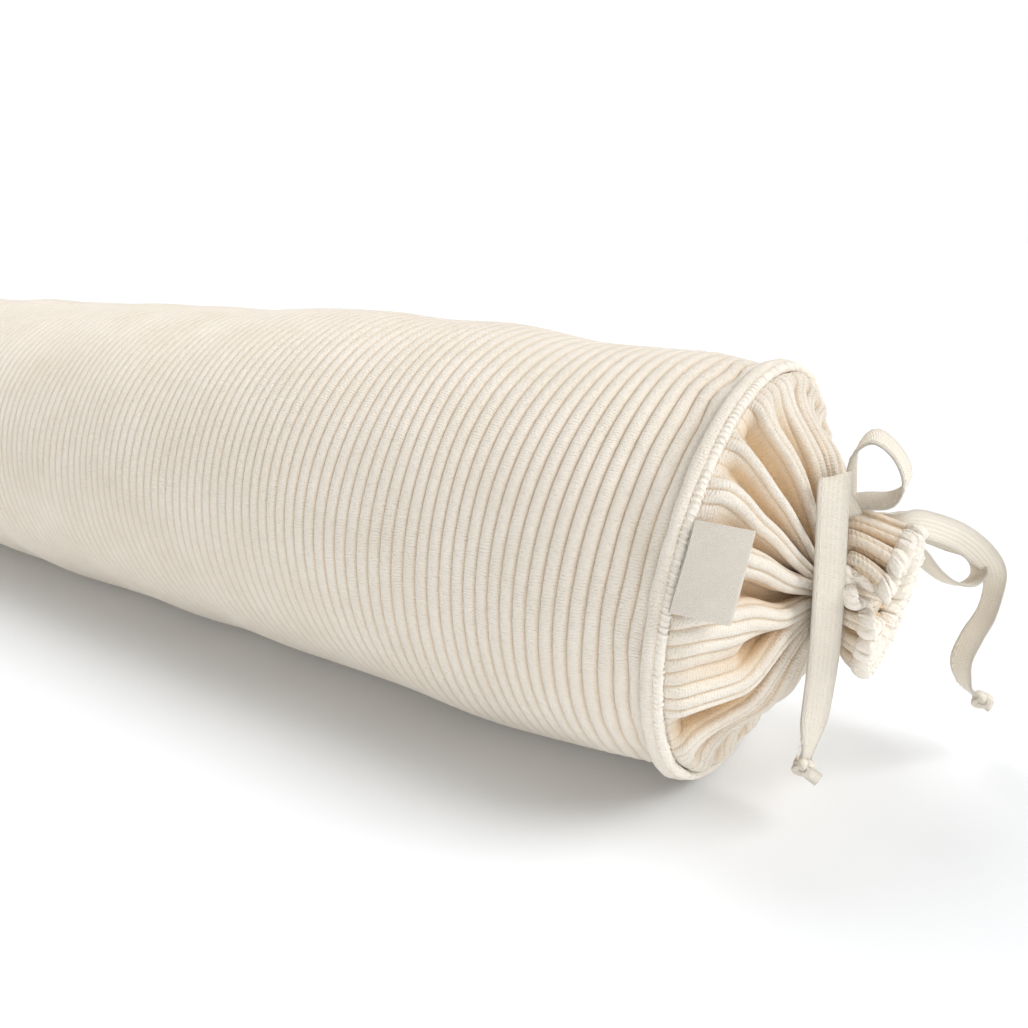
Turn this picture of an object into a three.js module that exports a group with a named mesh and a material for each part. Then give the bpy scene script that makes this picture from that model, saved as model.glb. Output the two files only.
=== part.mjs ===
// A bolster cushion in wide-ribbed velour. Its ribs run round a filled tube. One end is a round
// panel. The other is gathered into pleats, and a cotton tape ties it off in a bow before a frill.
// Millimetres, +Z up. +X runs along the cushion toward the tied end, -Y is its front, and the
// origin lies mid-length on the underside, which its own weight presses flat.
import * as THREE from 'three';

// The body
const RADIUS = 80;
const RIB_PITCH = 5.2;
const RIB_COUNT = 160;
const RIB_HEIGHT = 1.2;
const BODY_LENGTH = RIB_COUNT * RIB_PITCH;
const HALF = BODY_LENGTH / 2;
const AXIS_HEIGHT = 76.3;
const TUBE_SIDES = 13;
const FLAT_HALF_ANGLE = THREE.MathUtils.degToRad(15);
const RIB_FADE_ANGLE = THREE.MathUtils.degToRad(38);

// The two seams. The tied one leans a little, and its centre lies off the body's axis.
const SEAM_GAP = 0.15;
const PANEL_EDGE = 74.8;
const RIDGE_RADIUS = 77.4;
const RIDGE_THICKNESS = 4.2;
const RIDGE_SIDES = 6;
const RIDGE_STEPS = 32;
const RIDGE_OUTER = RIDGE_RADIUS + RIDGE_THICKNESS / 2;
const SEAM_LEAN_UP = Math.tan(THREE.MathUtils.degToRad(4.3));
const SEAM_LEAN_FRONT = Math.tan(THREE.MathUtils.degToRad(2.6));
const SEAM_SHIFT = { y: -1.3, z: -1.4 };
const SEAM_REACH = 150;
const PRESS_REACH = 60;

// How full the body is along its top and its underside, as a share of its radius, by the distance
// from the tied seam
const CROWN = [
  { from: 0, top: 0.935, under: 0.935 },
  { from: 10, top: 0.932, under: 0.955 },
  { from: 30, top: 0.965, under: 0.972 },
  { from: 75, top: 0.97, under: 0.993 },
  { from: 118, top: 1.015, under: 0.997 },
  { from: 172, top: 1.041, under: 0.997 },
  { from: 238, top: 1.024, under: 0.996 },
  { from: 315, top: 1.003, under: 1.01 },
  { from: 410, top: 0.986, under: 1.02 },
  { from: 527, top: 0.956, under: 1.006 },
  { from: 640, top: 0.975, under: 1.0 },
  { from: 740, top: 0.99, under: 0.995 },
  { from: 805, top: 0.97, under: 0.975 },
  { from: 832, top: 0.935, under: 0.935 },
];

// The gathered end from its seam to its neck, and the frill beyond the tie. Out is the distance
// from the seam's plane and r the distance from the axis; pleat is how much of the pleats' depth
// shows there, and rib the ribs' height.
const END_RIBS = 97;
const FRILL_RADIUS = 26.8;
const GATHERED = [
  { out: SEAM_GAP, r: 0, pleat: 0, rib: 0 },
  { out: SEAM_GAP, r: PANEL_EDGE, pleat: 0, rib: 0 },
  { out: 3.4, r: 75.2, pleat: 0.02, rib: 0.8 },
  { out: 8, r: 73, pleat: 0.15, rib: 1.1 },
  { out: 12.6, r: 66, pleat: 0.5, rib: 1.1 },
  { out: 17, r: 56.5, pleat: 0.85, rib: 1.0 },
  { out: 21, r: 47, pleat: 1, rib: 0.9 },
  { out: 24.6, r: 35, pleat: 0.85, rib: 0.7 },
  { out: 26.8, r: 22.5, pleat: 0.3, rib: 0.4 },
  { out: 28, r: 17.6, pleat: 0.1, rib: 0.2 },
  { out: 35.6, r: 17.6, pleat: 0.1, rib: 0.2 },
  { out: 37.6, r: 23.6, pleat: 0.25, rib: 0.4 },
  { out: 44, r: 26.6, pleat: 0.35, rib: 0.6 },
  { out: 52, r: FRILL_RADIUS, pleat: 0.35, rib: 0.6 },
  { out: 52, r: 23.8, pleat: 0.35, rib: 0.6 },
  { out: 42, r: 12, pleat: 0, rib: 0 },
  { out: 42, r: 0, pleat: 0, rib: 0 },
];
const NECK = { end: 35.6, r: 17.6 };
const FRILL_LEAN = { reach: 10, share: 0.12 };
// At the front the frill is folded back toward its neck, and the bow presses it down behind
const FRILL_NOTCH = { at: 2, width: 16, share: 0.7 };
const FRILL_DENT = { at: 126, width: 30, depth: 4.5 };

// The pleats' valleys round the gathered end. At is their place in degrees from the front over
// the top, and width and depth their size half-way to the neck.
const PLEATS = [
  { at: -172, width: 6, depth: 4 },
  { at: -157, width: 7, depth: 5 },
  { at: -141, width: 5, depth: 3 },
  { at: -126, width: 7, depth: 5 },
  { at: -110, width: 5, depth: 4 },
  { at: -95, width: 6, depth: 3 },
  { at: -78, width: 6, depth: 4 },
  { at: -61, width: 5, depth: 3 },
  { at: -46, width: 4, depth: 3 },
  { at: -31, width: 8, depth: 7 },
  { at: -20, width: 4, depth: 2 },
  { at: -8, width: 6, depth: 6 },
  { at: 3, width: 3, depth: 2 },
  { at: 13, width: 3, depth: 2.5 },
  { at: 26, width: 5, depth: 3 },
  { at: 32, width: 4, depth: 4 },
  { at: 42, width: 5, depth: 6 },
  { at: 54, width: 8, depth: 9 },
  { at: 67, width: 4, depth: 3 },
  { at: 76, width: 5, depth: 4 },
  { at: 86, width: 5, depth: 4 },
  { at: 101, width: 6, depth: 5 },
  { at: 116, width: 5, depth: 3 },
  { at: 131, width: 7, depth: 5 },
  { at: 146, width: 5, depth: 4 },
  { at: 160, width: 6, depth: 5 },
  { at: 174, width: 5, depth: 3 },
];
const PLEAT_RADIUS = 50;
const PLEAT_NARROWING = 0.7;

// The round panel at the other end, from its edge to its middle
const FAR_SIDES = 20;
const FAR_PANEL = [
  { out: SEAM_GAP, r: 0 },
  { out: SEAM_GAP, r: PANEL_EDGE },
  { out: 3.4, r: 74.4 },
  { out: 8, r: 67 },
  { out: 11, r: 50 },
  { out: 12.6, r: 26 },
  { out: 13, r: 0 },
];

// The label: a bare cotton ribbon folded double, its cut ends caught in the seam. Its angles run
// from its lower side to its upper one.
const LABEL = { from: 8.8, to: 29.3, start: 2.2, length: 20, lift: 1.2 };
const LABEL_LAYER = 0.5;
const LABEL_THICKNESS = 1.6;
const LABEL_BENDS = 4;
const LABEL_STRIPS = 3;
const LABEL_FOLD_STEPS = 2;

// The tie: a flat cotton tape, wound round the neck and knotted on top in a bow. Across is the
// direction of the tape's width.
const TAPE_WIDTH = 10;
const TAPE_THICKNESS = 1.2;
const WRAP = { from: 28.3, to: 35.4, inner: 18.1, outer: 20.9, round: 0.6, sides: 24 };
const TIE_KNOT = { x: 450.2, y: -1, z: 101.9, length: 10, width: 14, height: 11.4, sides: 14 };
const BOW_LOOP_FRONT = {
  steps: 16,
  route: [
    { x: 448, y: -1.5, z: 107.8, across: [0.05, 1, -0.2] },
    { x: 447.6, y: -1.5, z: 113, across: [0.05, 1, -0.2] },
    { x: 448, y: -1.5, z: 123.5, across: [-0.1, 0.9, 0.1] },
    { x: 454, y: -1, z: 129.8, across: [-0.15, 0.85, 0.3] },
    { x: 461.6, y: -0.5, z: 125, across: [0, 1, 0.1] },
    { x: 464.4, y: 0, z: 116.4, across: [0, 1, 0] },
    { x: 461, y: -0.5, z: 109.8, across: [-0.3, 0.9, 0.1] },
    { x: 453, y: -1, z: 107.9, across: [-0.4, 0.9, 0] },
  ],
};
const BOW_LOOP_BACK = {
  steps: 22,
  route: [
    { x: 453.6, y: 5.2, z: 102, across: [0.83, -0.55, 0.1] },
    { x: 459, y: 14, z: 100.4, across: [0.83, -0.55, 0.1] },
    { x: 466, y: 27, z: 97.6, across: [0.83, -0.55, 0.1] },
    { x: 475, y: 40.5, z: 90, across: [0.83, -0.55, 0] },
    { x: 481.5, y: 50, z: 81, across: [0.83, -0.55, 0] },
    { x: 482.8, y: 52, z: 74.5, across: [0.83, -0.55, 0] },
    { x: 479, y: 46.8, z: 70.4, across: [0.83, -0.55, 0.05] },
    { x: 473, y: 39, z: 73, across: [0.83, -0.5, 0.1] },
    { x: 468, y: 32, z: 81, across: [0.83, -0.5, 0.15] },
    { x: 463.5, y: 25.6, z: 90, across: [0.85, -0.5, 0.2] },
    { x: 458.5, y: 15.4, z: 96.6, across: [0.83, -0.55, 0.25] },
    { x: 453, y: 5, z: 99.4, across: [0.83, -0.55, 0.25] },
  ],
};
const TIE_TAIL_FRONT = {
  steps: 16,
  route: [
    { x: 449.6, y: -8.9, z: 103.6, across: [0.93, 0.37, 0] },
    { x: 447.2, y: -12.2, z: 111, across: [0.5, 0.86, 0] },
    { x: 447.4, y: -17, z: 117.6, across: [0.75, 0.66, 0] },
    { x: 448.9, y: -23.5, z: 119.4, across: [0.81, 0.59, 0] },
    { x: 450.1, y: -27, z: 110, across: [0.81, 0.59, 0] },
    { x: 451.6, y: -27.6, z: 88, across: [0.81, 0.59, 0] },
    { x: 452.2, y: -27.8, z: 66, across: [0.81, 0.59, 0] },
    { x: 451.6, y: -27.8, z: 48, across: [0.72, 0.69, 0] },
    { x: 450.8, y: -27.6, z: 33, across: [0.5, 0.87, 0] },
    { x: 450, y: -27.4, z: 25.8, across: [0.45, 0.89, 0] },
  ],
};
const TIE_TAIL_BACK = {
  steps: 18,
  route: [
    { x: 453.4, y: 5, z: 104.8, across: [0.83, -0.55, 0.1] },
    { x: 458.4, y: 13.4, z: 103, across: [0.83, -0.53, 0.15] },
    { x: 466, y: 26.5, z: 101, across: [0.8, -0.55, 0.25] },
    { x: 475, y: 40.2, z: 94.3, across: [0.75, -0.6, 0.28] },
    { x: 482, y: 51.2, z: 83, across: [0.7, -0.68, 0.2] },
    { x: 485, y: 56.4, z: 71, across: [0.66, -0.75, 0.05] },
    { x: 484.6, y: 55.4, z: 59, across: [0.75, -0.66, 0] },
    { x: 481.6, y: 50.2, z: 50, across: [0.83, -0.55, 0] },
    { x: 479.6, y: 47, z: 41, across: [0.83, -0.55, 0.05] },
    { x: 481, y: 49.6, z: 31.6, across: [0.83, -0.55, 0.05] },
    { x: 484.4, y: 54.8, z: 25.4, across: [0.83, -0.55, 0] },
  ],
};
const TAIL_KNOT_FRONT = { x: 451, y: -27.2, z: 21, length: 9.4, width: 9, height: 8.8, sides: 10 };
const TAIL_KNOT_BACK = { x: 486.6, y: 57.8, z: 22.6, length: 8.4, width: 8.4, height: 7.6, sides: 10 };
const KNOT_DENT = 0.08;
const KNOT_DENTS = 3;
const KNOT_ROWS_PER_SIDE = 0.7;

const cloth = (color) => new THREE.MeshStandardMaterial({ color, roughness: 0.95, metalness: 0 });
const VELOUR = cloth('#ece4d6');
const THREAD = cloth('#e8dcc8');
const TAPE = cloth('#e6ddcf');
const LABEL_COTTON = cloth('#b8b0a6');

const { clamp, degToRad, euclideanModulo, lerp, radToDeg, smoothstep } = THREE.MathUtils;

// The value of a column of a table at a distance between two of its rows
function lookup(table, column, at) {
  const after = Math.max(1, table.findIndex((row) => row.from >= at));
  const [a, b] = [table[after - 1], table[after]];
  return lerp(a[column], b[column], clamp((at - a.from) / (b.from - a.from), 0, 1));
}

// A point of the cushion in space, given along its axis from mid-length, out from the axis, and
// by the angle from the front over the top
function place(along, r, angle) {
  const fromTied = HALF - along;
  const near = 1 - smoothstep(fromTied, 0, SEAM_REACH);
  const pressed = 1 - smoothstep(HALF - Math.abs(along), 0, PRESS_REACH);
  const centre = AXIS_HEIGHT + near * SEAM_SHIFT.z;
  const y = -r * Math.cos(angle);
  let z = r * Math.sin(angle);
  if (z < 0) z *= lerp(1, centre / RIDGE_OUTER, pressed);
  const frill = clamp((-fromTied - NECK.end) / FRILL_LEAN.reach, 0, 1);
  const lean = near * (SEAM_LEAN_UP * z - SEAM_LEAN_FRONT * y) + frill * FRILL_LEAN.share * z;
  return new THREE.Vector3(along + lean, y + near * SEAM_SHIFT.y, Math.max(0, centre + z));
}

// Each vertex of a geometry goes where the function says
function reshape(geometry, move) {
  const position = geometry.getAttribute('position');
  const point = new THREE.Vector3();
  for (let i = 0; i < position.count; i += 1) {
    point.fromBufferAttribute(position, i);
    point.copy(move(point));
    position.setXYZ(i, point.x, point.y, point.z);
  }
  geometry.computeVertexNormals();
  return geometry;
}

// The tube's columns stand evenly round it, but the facet underneath is as wide as its flat
function tubeAngle(fromBottom) {
  const half = Math.PI / TUBE_SIDES;
  const stretch = (Math.PI - FLAT_HALF_ANGLE) / (Math.PI - half);
  return Math.sign(fromBottom) * (FLAT_HALF_ANGLE + (Math.abs(fromBottom) - half) * stretch);
}

// The ribs' crests and valleys are rings of the tube. They fade toward its flat and its seams.
function tubeRadius(along, fromBottom) {
  const upness = (1 - Math.cos(fromBottom)) / 2;
  const full = lerp(lookup(CROWN, 'under', HALF - along), lookup(CROWN, 'top', HALF - along), upness);
  const rib = (along + HALF) / RIB_PITCH;
  const valley = 2 * Math.abs(rib - Math.floor(rib) - 0.5);
  const fade = smoothstep(Math.abs(fromBottom), FLAT_HALF_ANGLE, RIB_FADE_ANGLE);
  const fromSeam = clamp((HALF - Math.abs(along)) / RIB_PITCH, 0, 1);
  return RADIUS * full - RIB_HEIGHT * valley * fade * fromSeam;
}

function tubePanel() {
  const half = Math.PI / TUBE_SIDES;
  const geometry = new THREE.CylinderGeometry(1, 1, BODY_LENGTH, TUBE_SIDES, RIB_COUNT * 2, false, half);
  return reshape(geometry, ({ x, y, z }) => {
    const fromBottom = tubeAngle(Math.atan2(-x, z));
    const along = clamp(y, -HALF + SEAM_GAP, HALF - SEAM_GAP);
    const share = Math.round(Math.hypot(x, z));
    return place(along, share * tubeRadius(y, fromBottom), fromBottom - Math.PI / 2);
  });
}

// 1 where off is 0, falling smoothly to nothing past its width
const bell = (off, width) => Math.exp(-((off / width) ** 2));

// How far the pleats draw the gathered end in at a point of it
function pleatDepth(angle, r) {
  let depth = 0;
  for (const pleat of PLEATS) {
    const off = degToRad(euclideanModulo(radToDeg(angle) - pleat.at + 180, 360) - 180) * r;
    const width = pleat.width * (Math.max(r, NECK.r) / PLEAT_RADIUS) ** PLEAT_NARROWING;
    depth += pleat.depth * bell(off, width / Math.SQRT2);
  }
  return depth;
}

// The outward direction of the gathered end's profile at one of its rows
function outward(i) {
  if (GATHERED[i].out > NECK.end) return new THREE.Vector2(0, 1);
  const [before, after] = [GATHERED[Math.max(1, i - 1)], GATHERED[i + 1]];
  return new THREE.Vector2(before.r - after.r, after.out - before.out).normalize();
}

// A profile of rows turned round the cushion's axis. The side is 1 at the tied end, -1 at the other.
function turned(profile, sides, side, move) {
  const points = profile.map(({ r }, i) => new THREE.Vector2(Math.sign(r), i));
  return reshape(new THREE.LatheGeometry(points, sides), ({ x, y, z }) => (
    move(Math.round(y), Math.atan2(-side * x, z))
  ));
}

function gatheredEnd() {
  return turned(GATHERED, END_RIBS * 2, 1, (i, angle) => {
    const row = GATHERED[i];
    const height = row.rib * Math.cos(END_RIBS * angle) / 2 - row.pleat * pleatDepth(angle, row.r);
    const normal = outward(i);
    const turn = radToDeg(angle);
    const frill = row.out > NECK.end && row.r > 0 ? 1 : 0;
    const notch = frill * FRILL_NOTCH.share * bell(turn - FRILL_NOTCH.at, FRILL_NOTCH.width);
    const behind = euclideanModulo(turn, 360) - FRILL_DENT.at;
    const dent = frill * FRILL_DENT.depth * bell(behind, FRILL_DENT.width);
    const out = lerp(row.out, NECK.end, notch) + normal.x * height;
    const r = lerp(row.r, NECK.r, notch) + normal.y * height;
    return place(HALF + out, r - dent * Math.min(1, r / FRILL_RADIUS), angle);
  });
}

function farPanel() {
  return turned(FAR_PANEL, FAR_SIDES, -1, (i, angle) => (
    place(-HALF - FAR_PANEL[i].out, FAR_PANEL[i].r, angle)
  ));
}

function seamRidge(along) {
  const geometry = new THREE.TorusGeometry(RIDGE_RADIUS, RIDGE_THICKNESS / 2, RIDGE_SIDES, RIDGE_STEPS);
  return reshape(geometry, ({ x, y, z }) => place(along + z, Math.hypot(x, y), Math.atan2(-y, x)));
}

// The point of the gathered end's profile a way in from its seam, lifted off the surface
function endSurface(arc, lift) {
  let i = 1;
  let left = arc;
  const run = () => Math.hypot(GATHERED[i + 1].out - GATHERED[i].out, GATHERED[i + 1].r - GATHERED[i].r);
  while (left > run()) {
    left -= run();
    i += 1;
  }
  const share = left / run();
  const normal = outward(i).lerp(outward(i + 1), share).normalize();
  const out = lerp(GATHERED[i].out, GATHERED[i + 1].out, share) + normal.x * lift;
  return { out, r: lerp(GATHERED[i].r, GATHERED[i + 1].r, share) + normal.y * lift };
}

// The label's section is a U: two layers, with the fold at the free edge
function labelTab() {
  const middle = LABEL_THICKNESS / 2;
  const straight = LABEL.length - middle;
  const section = new THREE.Shape();
  const layer = (from, to, height) => {
    for (let i = 0; i <= LABEL_BENDS; i += 1) section.lineTo(lerp(from, to, i / LABEL_BENDS), height);
  };
  section.moveTo(0, 0);
  layer(0, straight, 0);
  section.absarc(straight, middle, middle, -Math.PI / 2, Math.PI / 2);
  layer(straight, 0, LABEL_THICKNESS);
  layer(0, straight, LABEL_THICKNESS - LABEL_LAYER);
  section.absarc(straight, middle, middle - LABEL_LAYER, Math.PI / 2, -Math.PI / 2, true);
  layer(straight, 0, LABEL_LAYER);
  const geometry = new THREE.ExtrudeGeometry(section, {
    depth: 1, steps: LABEL_STRIPS, bevelEnabled: false, curveSegments: LABEL_FOLD_STEPS,
  });
  return reshape(geometry, ({ x, y, z }) => {
    const { out, r } = endSurface(LABEL.start + x, LABEL.lift + y);
    return place(HALF + out, r, degToRad(lerp(LABEL.to, LABEL.from, z)));
  });
}

// A route whose tape keeps its width in the direction that each row gives
class TapeRoute extends THREE.CatmullRomCurve3 {
  constructor(route) {
    super(route.map(({ x, y, z }) => new THREE.Vector3(x, y, z)));
    this.across = new THREE.CatmullRomCurve3(route.map(({ across }) => new THREE.Vector3(...across)));
  }

  computeFrenetFrames(segments) {
    const frames = { tangents: [], normals: [], binormals: [] };
    for (let i = 0; i <= segments; i += 1) {
      const tangent = this.getTangentAt(i / segments);
      const across = this.across.getPoint(this.getUtoTmapping(i / segments));
      const normal = across.addScaledVector(tangent, -across.dot(tangent)).normalize();
      frames.tangents.push(tangent);
      frames.normals.push(normal);
      frames.binormals.push(new THREE.Vector3().crossVectors(tangent, normal));
    }
    return frames;
  }
}

// A length of tape: an eight-sided flat section along its route
function tape({ steps, route }) {
  const [half, thick] = [TAPE_WIDTH / 2, TAPE_THICKNESS / 2];
  const corner = [[half, thick / 2], [half - thick, thick]];
  const section = new THREE.Shape([
    ...corner.map(([x, y]) => new THREE.Vector2(x, y)),
    ...corner.toReversed().map(([x, y]) => new THREE.Vector2(-x, y)),
    ...corner.map(([x, y]) => new THREE.Vector2(-x, -y)),
    ...corner.toReversed().map(([x, y]) => new THREE.Vector2(x, -y)),
  ]);
  return new THREE.ExtrudeGeometry(section, {
    steps, bevelEnabled: false, extrudePath: new TapeRoute(route),
  });
}

function tieWrap() {
  const { from, to, inner, outer, round, sides } = WRAP;
  const profile = [
    [outer, from + round], [outer, to - round], [outer - round, to], [inner + round, to],
    [inner, to - round], [inner, from + round], [inner + round, from], [outer - round, from],
    [outer, from + round],
  ];
  const geometry = new THREE.LatheGeometry(profile.map(([r, out]) => new THREE.Vector2(r, out)), sides);
  return reshape(geometry, ({ x, y, z }) => place(HALF + y, Math.hypot(x, z), Math.atan2(-x, z)));
}

// A knot is a rounded lump of its real size, a little dented where the tape crosses itself
function knot({ x, y, z, length, width, height, sides }) {
  const geometry = new THREE.SphereGeometry(1, sides, Math.round(sides * KNOT_ROWS_PER_SIDE));
  return reshape(geometry, (point) => {
    const fromPole = 1 - point.y ** 2;
    const dent = KNOT_DENT * fromPole * (1 + Math.cos(KNOT_DENTS * Math.atan2(point.z, point.x))) / 2;
    const half = new THREE.Vector3(length, width, height).multiplyScalar((1 - dent) / 2);
    return point.clone().multiply(half).add(new THREE.Vector3(x, y, z));
  });
}

const cushion = new THREE.Group();

function add(name, geometry, material) {
  const mesh = new THREE.Mesh(geometry, material);
  mesh.name = name;
  cushion.add(mesh);
}

add('tube_panel', tubePanel(), VELOUR);
add('gathered_end', gatheredEnd(), VELOUR);
add('far_panel', farPanel(), VELOUR);
add('seam_ridge_tied', seamRidge(HALF), THREAD);
add('seam_ridge_far', seamRidge(-HALF), THREAD);
add('label_tab', labelTab(), LABEL_COTTON);
add('tie_wrap', tieWrap(), TAPE);
add('tie_knot', knot(TIE_KNOT), TAPE);
add('bow_loop_front', tape(BOW_LOOP_FRONT), TAPE);
add('bow_loop_back', tape(BOW_LOOP_BACK), TAPE);
add('tie_tail_front', tape(TIE_TAIL_FRONT), TAPE);
add('tie_tail_back', tape(TIE_TAIL_BACK), TAPE);
add('tail_knot_front', knot(TAIL_KNOT_FRONT), TAPE);
add('tail_knot_back', knot(TAIL_KNOT_BACK), TAPE);

export default cushion;
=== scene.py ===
# %% [markdown]
# # A long bolster in wide-ribbed velour
#
# The object is a round cushion about 0.9 m long. Its cover has wide soft ribs that run round it.
# One end is gathered into pleats, tied with a flat cotton tape in a bow, and left standing out as a
# frill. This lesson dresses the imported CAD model: every piece is made in metres in the CAD's own
# frame, so that nothing has to be fitted afterwards. +X runs toward the tied end, -Y is the front,
# and the cushion rests on the plane z = 0.

# %% Load the frame and keep its box
import math

import bpy
import numpy as np
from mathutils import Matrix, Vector


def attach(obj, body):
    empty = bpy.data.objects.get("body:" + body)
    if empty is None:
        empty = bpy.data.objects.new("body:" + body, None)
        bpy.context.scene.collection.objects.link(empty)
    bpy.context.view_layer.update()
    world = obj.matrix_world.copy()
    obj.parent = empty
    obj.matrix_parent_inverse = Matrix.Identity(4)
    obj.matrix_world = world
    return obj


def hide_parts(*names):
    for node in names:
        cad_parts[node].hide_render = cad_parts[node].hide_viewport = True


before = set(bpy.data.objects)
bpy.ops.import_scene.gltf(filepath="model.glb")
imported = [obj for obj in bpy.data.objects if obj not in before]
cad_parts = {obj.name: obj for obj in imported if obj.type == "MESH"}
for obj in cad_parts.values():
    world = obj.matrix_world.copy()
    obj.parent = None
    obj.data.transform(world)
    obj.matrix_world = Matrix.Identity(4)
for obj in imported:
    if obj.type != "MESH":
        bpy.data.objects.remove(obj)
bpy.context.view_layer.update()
print(len(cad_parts), "CAD nodes")

# %% [markdown]
# ## The camera
#
# A camera can be placed by eye, or worked out from the picture. Here the ellipse of the end seam and
# the spacing of the ribs gave its place, and it looks slightly down along the cushion. The lens is
# moderately wide, so the far end of the cushion runs out of the picture on the left.

# %% Add the camera
CAMERA_PLACE = (0.5384, -0.3123, 0.1905)
CAMERA_FORWARD = Vector((-0.56777, 0.77537, -0.27648))
LENS_MM = 33.56

bpy.ops.object.camera_add(
    location=CAMERA_PLACE, rotation=CAMERA_FORWARD.to_track_quat("-Z", "Y").to_euler()
)
camera = bpy.context.object
camera.name = "camera"
camera.data.lens = LENS_MM
camera.data.sensor_width = 36
camera.data.clip_start = 0.01
bpy.context.scene.camera = camera
print("camera looks along", tuple(round(value, 3) for value in CAMERA_FORWARD))

# %% [markdown]
# ## The measures and the shape of the cushion
#
# The cushion is a bent and swollen cylinder. It is easiest to think of each of its points as a
# distance along its axis, a distance out from the axis and an angle round it, and to let one function
# put such a point into space. The function leans the tied end, presses the underside flat and keeps
# everything above the surface that the cushion rests on. The same measures made the CAD solids.

# %% The driving measures, in metres
TURN = 2 * math.pi
BOTTOM = -math.pi / 2
RADIUS = 0.080
RIB_PITCH = 0.0052
RIB_COUNT = 160
RIB_HEIGHT = 0.0012
HALF = RIB_COUNT * RIB_PITCH / 2
NECK_END = 0.0356
NECK_RADIUS = 0.0176
print("the body is", round(HALF * 2, 4), "m between its seams")

# %% How the cushion rests and leans
AXIS_HEIGHT = 0.0763
RIDGE_OUTER = 0.0795
PRESS_REACH = 0.060
SEAM_REACH = 0.150
SEAM_LEAN_UP = math.tan(math.radians(4.3))
SEAM_LEAN_FRONT = math.tan(math.radians(2.6))
SEAM_SHIFT_SIDE = -0.0013
SEAM_SHIFT_UP = -0.0014
FRILL_LEAN_REACH = 0.010
FRILL_LEAN_SHARE = 0.12

# The tied seam sinks into the filling behind it in places: angle and width in degrees, and depth.
SEAM_SINKS = [(90, 30, 0.0022), (130, 30, 0.0034)]
SINK_FROM, SINK_TO = 0.010, 0.003


# %% Smooth steps and bells
def smoothstep(value, low, high):
    """0 below low, 1 above high, and smooth in between."""
    share = np.clip((value - low) / (high - low), 0, 1)
    return share * share * (3 - 2 * share)


def bell(off, width):
    """1 where off is 0, falling smoothly to nothing past its width."""
    return np.exp(-((off / width) ** 2))


def blend(first, second, share):
    return first + (second - first) * share


def angle_off(angle, middle):
    """The angle from the middle, the shorter way round."""
    return (angle - middle + math.pi) % TURN - math.pi


# %% Put a point of the cushion into space
def sunk(angle):
    """How far the tied seam sinks into the filling behind it, at an angle."""
    off = np.degrees(angle_off(angle, 0))
    return sum(depth * bell((off - at + 180) % 360 - 180, wide) for at, wide, depth in SEAM_SINKS)


def place(along, radius, angle):
    """Points in space, from how far along, how far out, and the angle from the front over the top."""
    sinking = sunk(angle) * smoothstep(along, HALF - SINK_FROM, HALF - SINK_TO)
    radius = radius - sinking * (radius / RADIUS) ** 3
    from_tied = HALF - along
    near = 1 - smoothstep(from_tied, 0, SEAM_REACH)
    pressed = 1 - smoothstep(HALF - np.abs(along), 0, PRESS_REACH)
    centre = AXIS_HEIGHT + near * SEAM_SHIFT_UP
    side = -radius * np.cos(angle)
    up = radius * np.sin(angle)
    up = np.where(up < 0, up * blend(1, centre / RIDGE_OUTER, pressed), up)
    frill = np.clip((-from_tied - NECK_END) / FRILL_LEAN_REACH, 0, 1)
    lean = near * (SEAM_LEAN_UP * up - SEAM_LEAN_FRONT * side) + frill * FRILL_LEAN_SHARE * up
    height = np.maximum(0, centre + up)
    return np.stack([along + lean, side + near * SEAM_SHIFT_SIDE, height], axis=-1)


front_of_seam = place(np.array([HALF]), RADIUS, np.array([0.0]))[0]
print("the tied seam's front is at", front_of_seam.round(4))

# %% A smooth curve through rows of numbers
CURVE_STEPS = 24


def smooth_path(rows, spacing):
    """Rows joined by a curve through each of them, read at an even spacing along its first three."""
    rows = np.asarray(rows, float)
    ends = np.vstack([2 * rows[0] - rows[1], rows, 2 * rows[-1] - rows[-2]])
    fine = []
    for before, start, end, after in zip(ends, ends[1:], ends[2:], ends[3:]):
        for t in np.linspace(0, 1, CURVE_STEPS, endpoint=False):
            pull = (end - before) * t + (2 * before - 5 * start + 4 * end - after) * t**2
            fine.append(start + (pull + (3 * start - before - 3 * end + after) * t**3) / 2)
    fine = np.array(fine + [rows[-1]])
    gone = np.concatenate([[0], np.cumsum(np.linalg.norm(np.diff(fine[:, :3], axis=0), axis=1))])
    even = np.linspace(0, gone[-1], max(2, round(gone[-1] / spacing)) + 1)
    return np.stack([np.interp(even, gone, column) for column in fine.T], axis=-1), gone[-1]


# %% [markdown]
# ## Tools for cloth
#
# Cloth starts flat, so each cloth piece here starts as a flat grid primitive, as the cloth was cut.
# Its vertices are then moved to where the sewn cloth lies, and the grid's own UV map is kept in real
# metres, so that a pile or a weave follows the cloth wherever it goes. The edges that were sewn are
# joined in edit mode, and the open ends are filled there, which makes a closed piece.

# %% Select a piece, and read and move its points
def select_only(piece):
    bpy.ops.object.select_all(action="DESELECT")
    piece.select_set(True)
    bpy.context.view_layer.objects.active = piece


def points_of(piece):
    points = np.zeros(len(piece.data.vertices) * 3)
    piece.data.vertices.foreach_get("co", points)
    return points.reshape(-1, 3)


def move_points(piece, points):
    piece.data.vertices.foreach_set("co", np.asarray(points, np.float32).ravel())
    piece.data.update()


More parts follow.
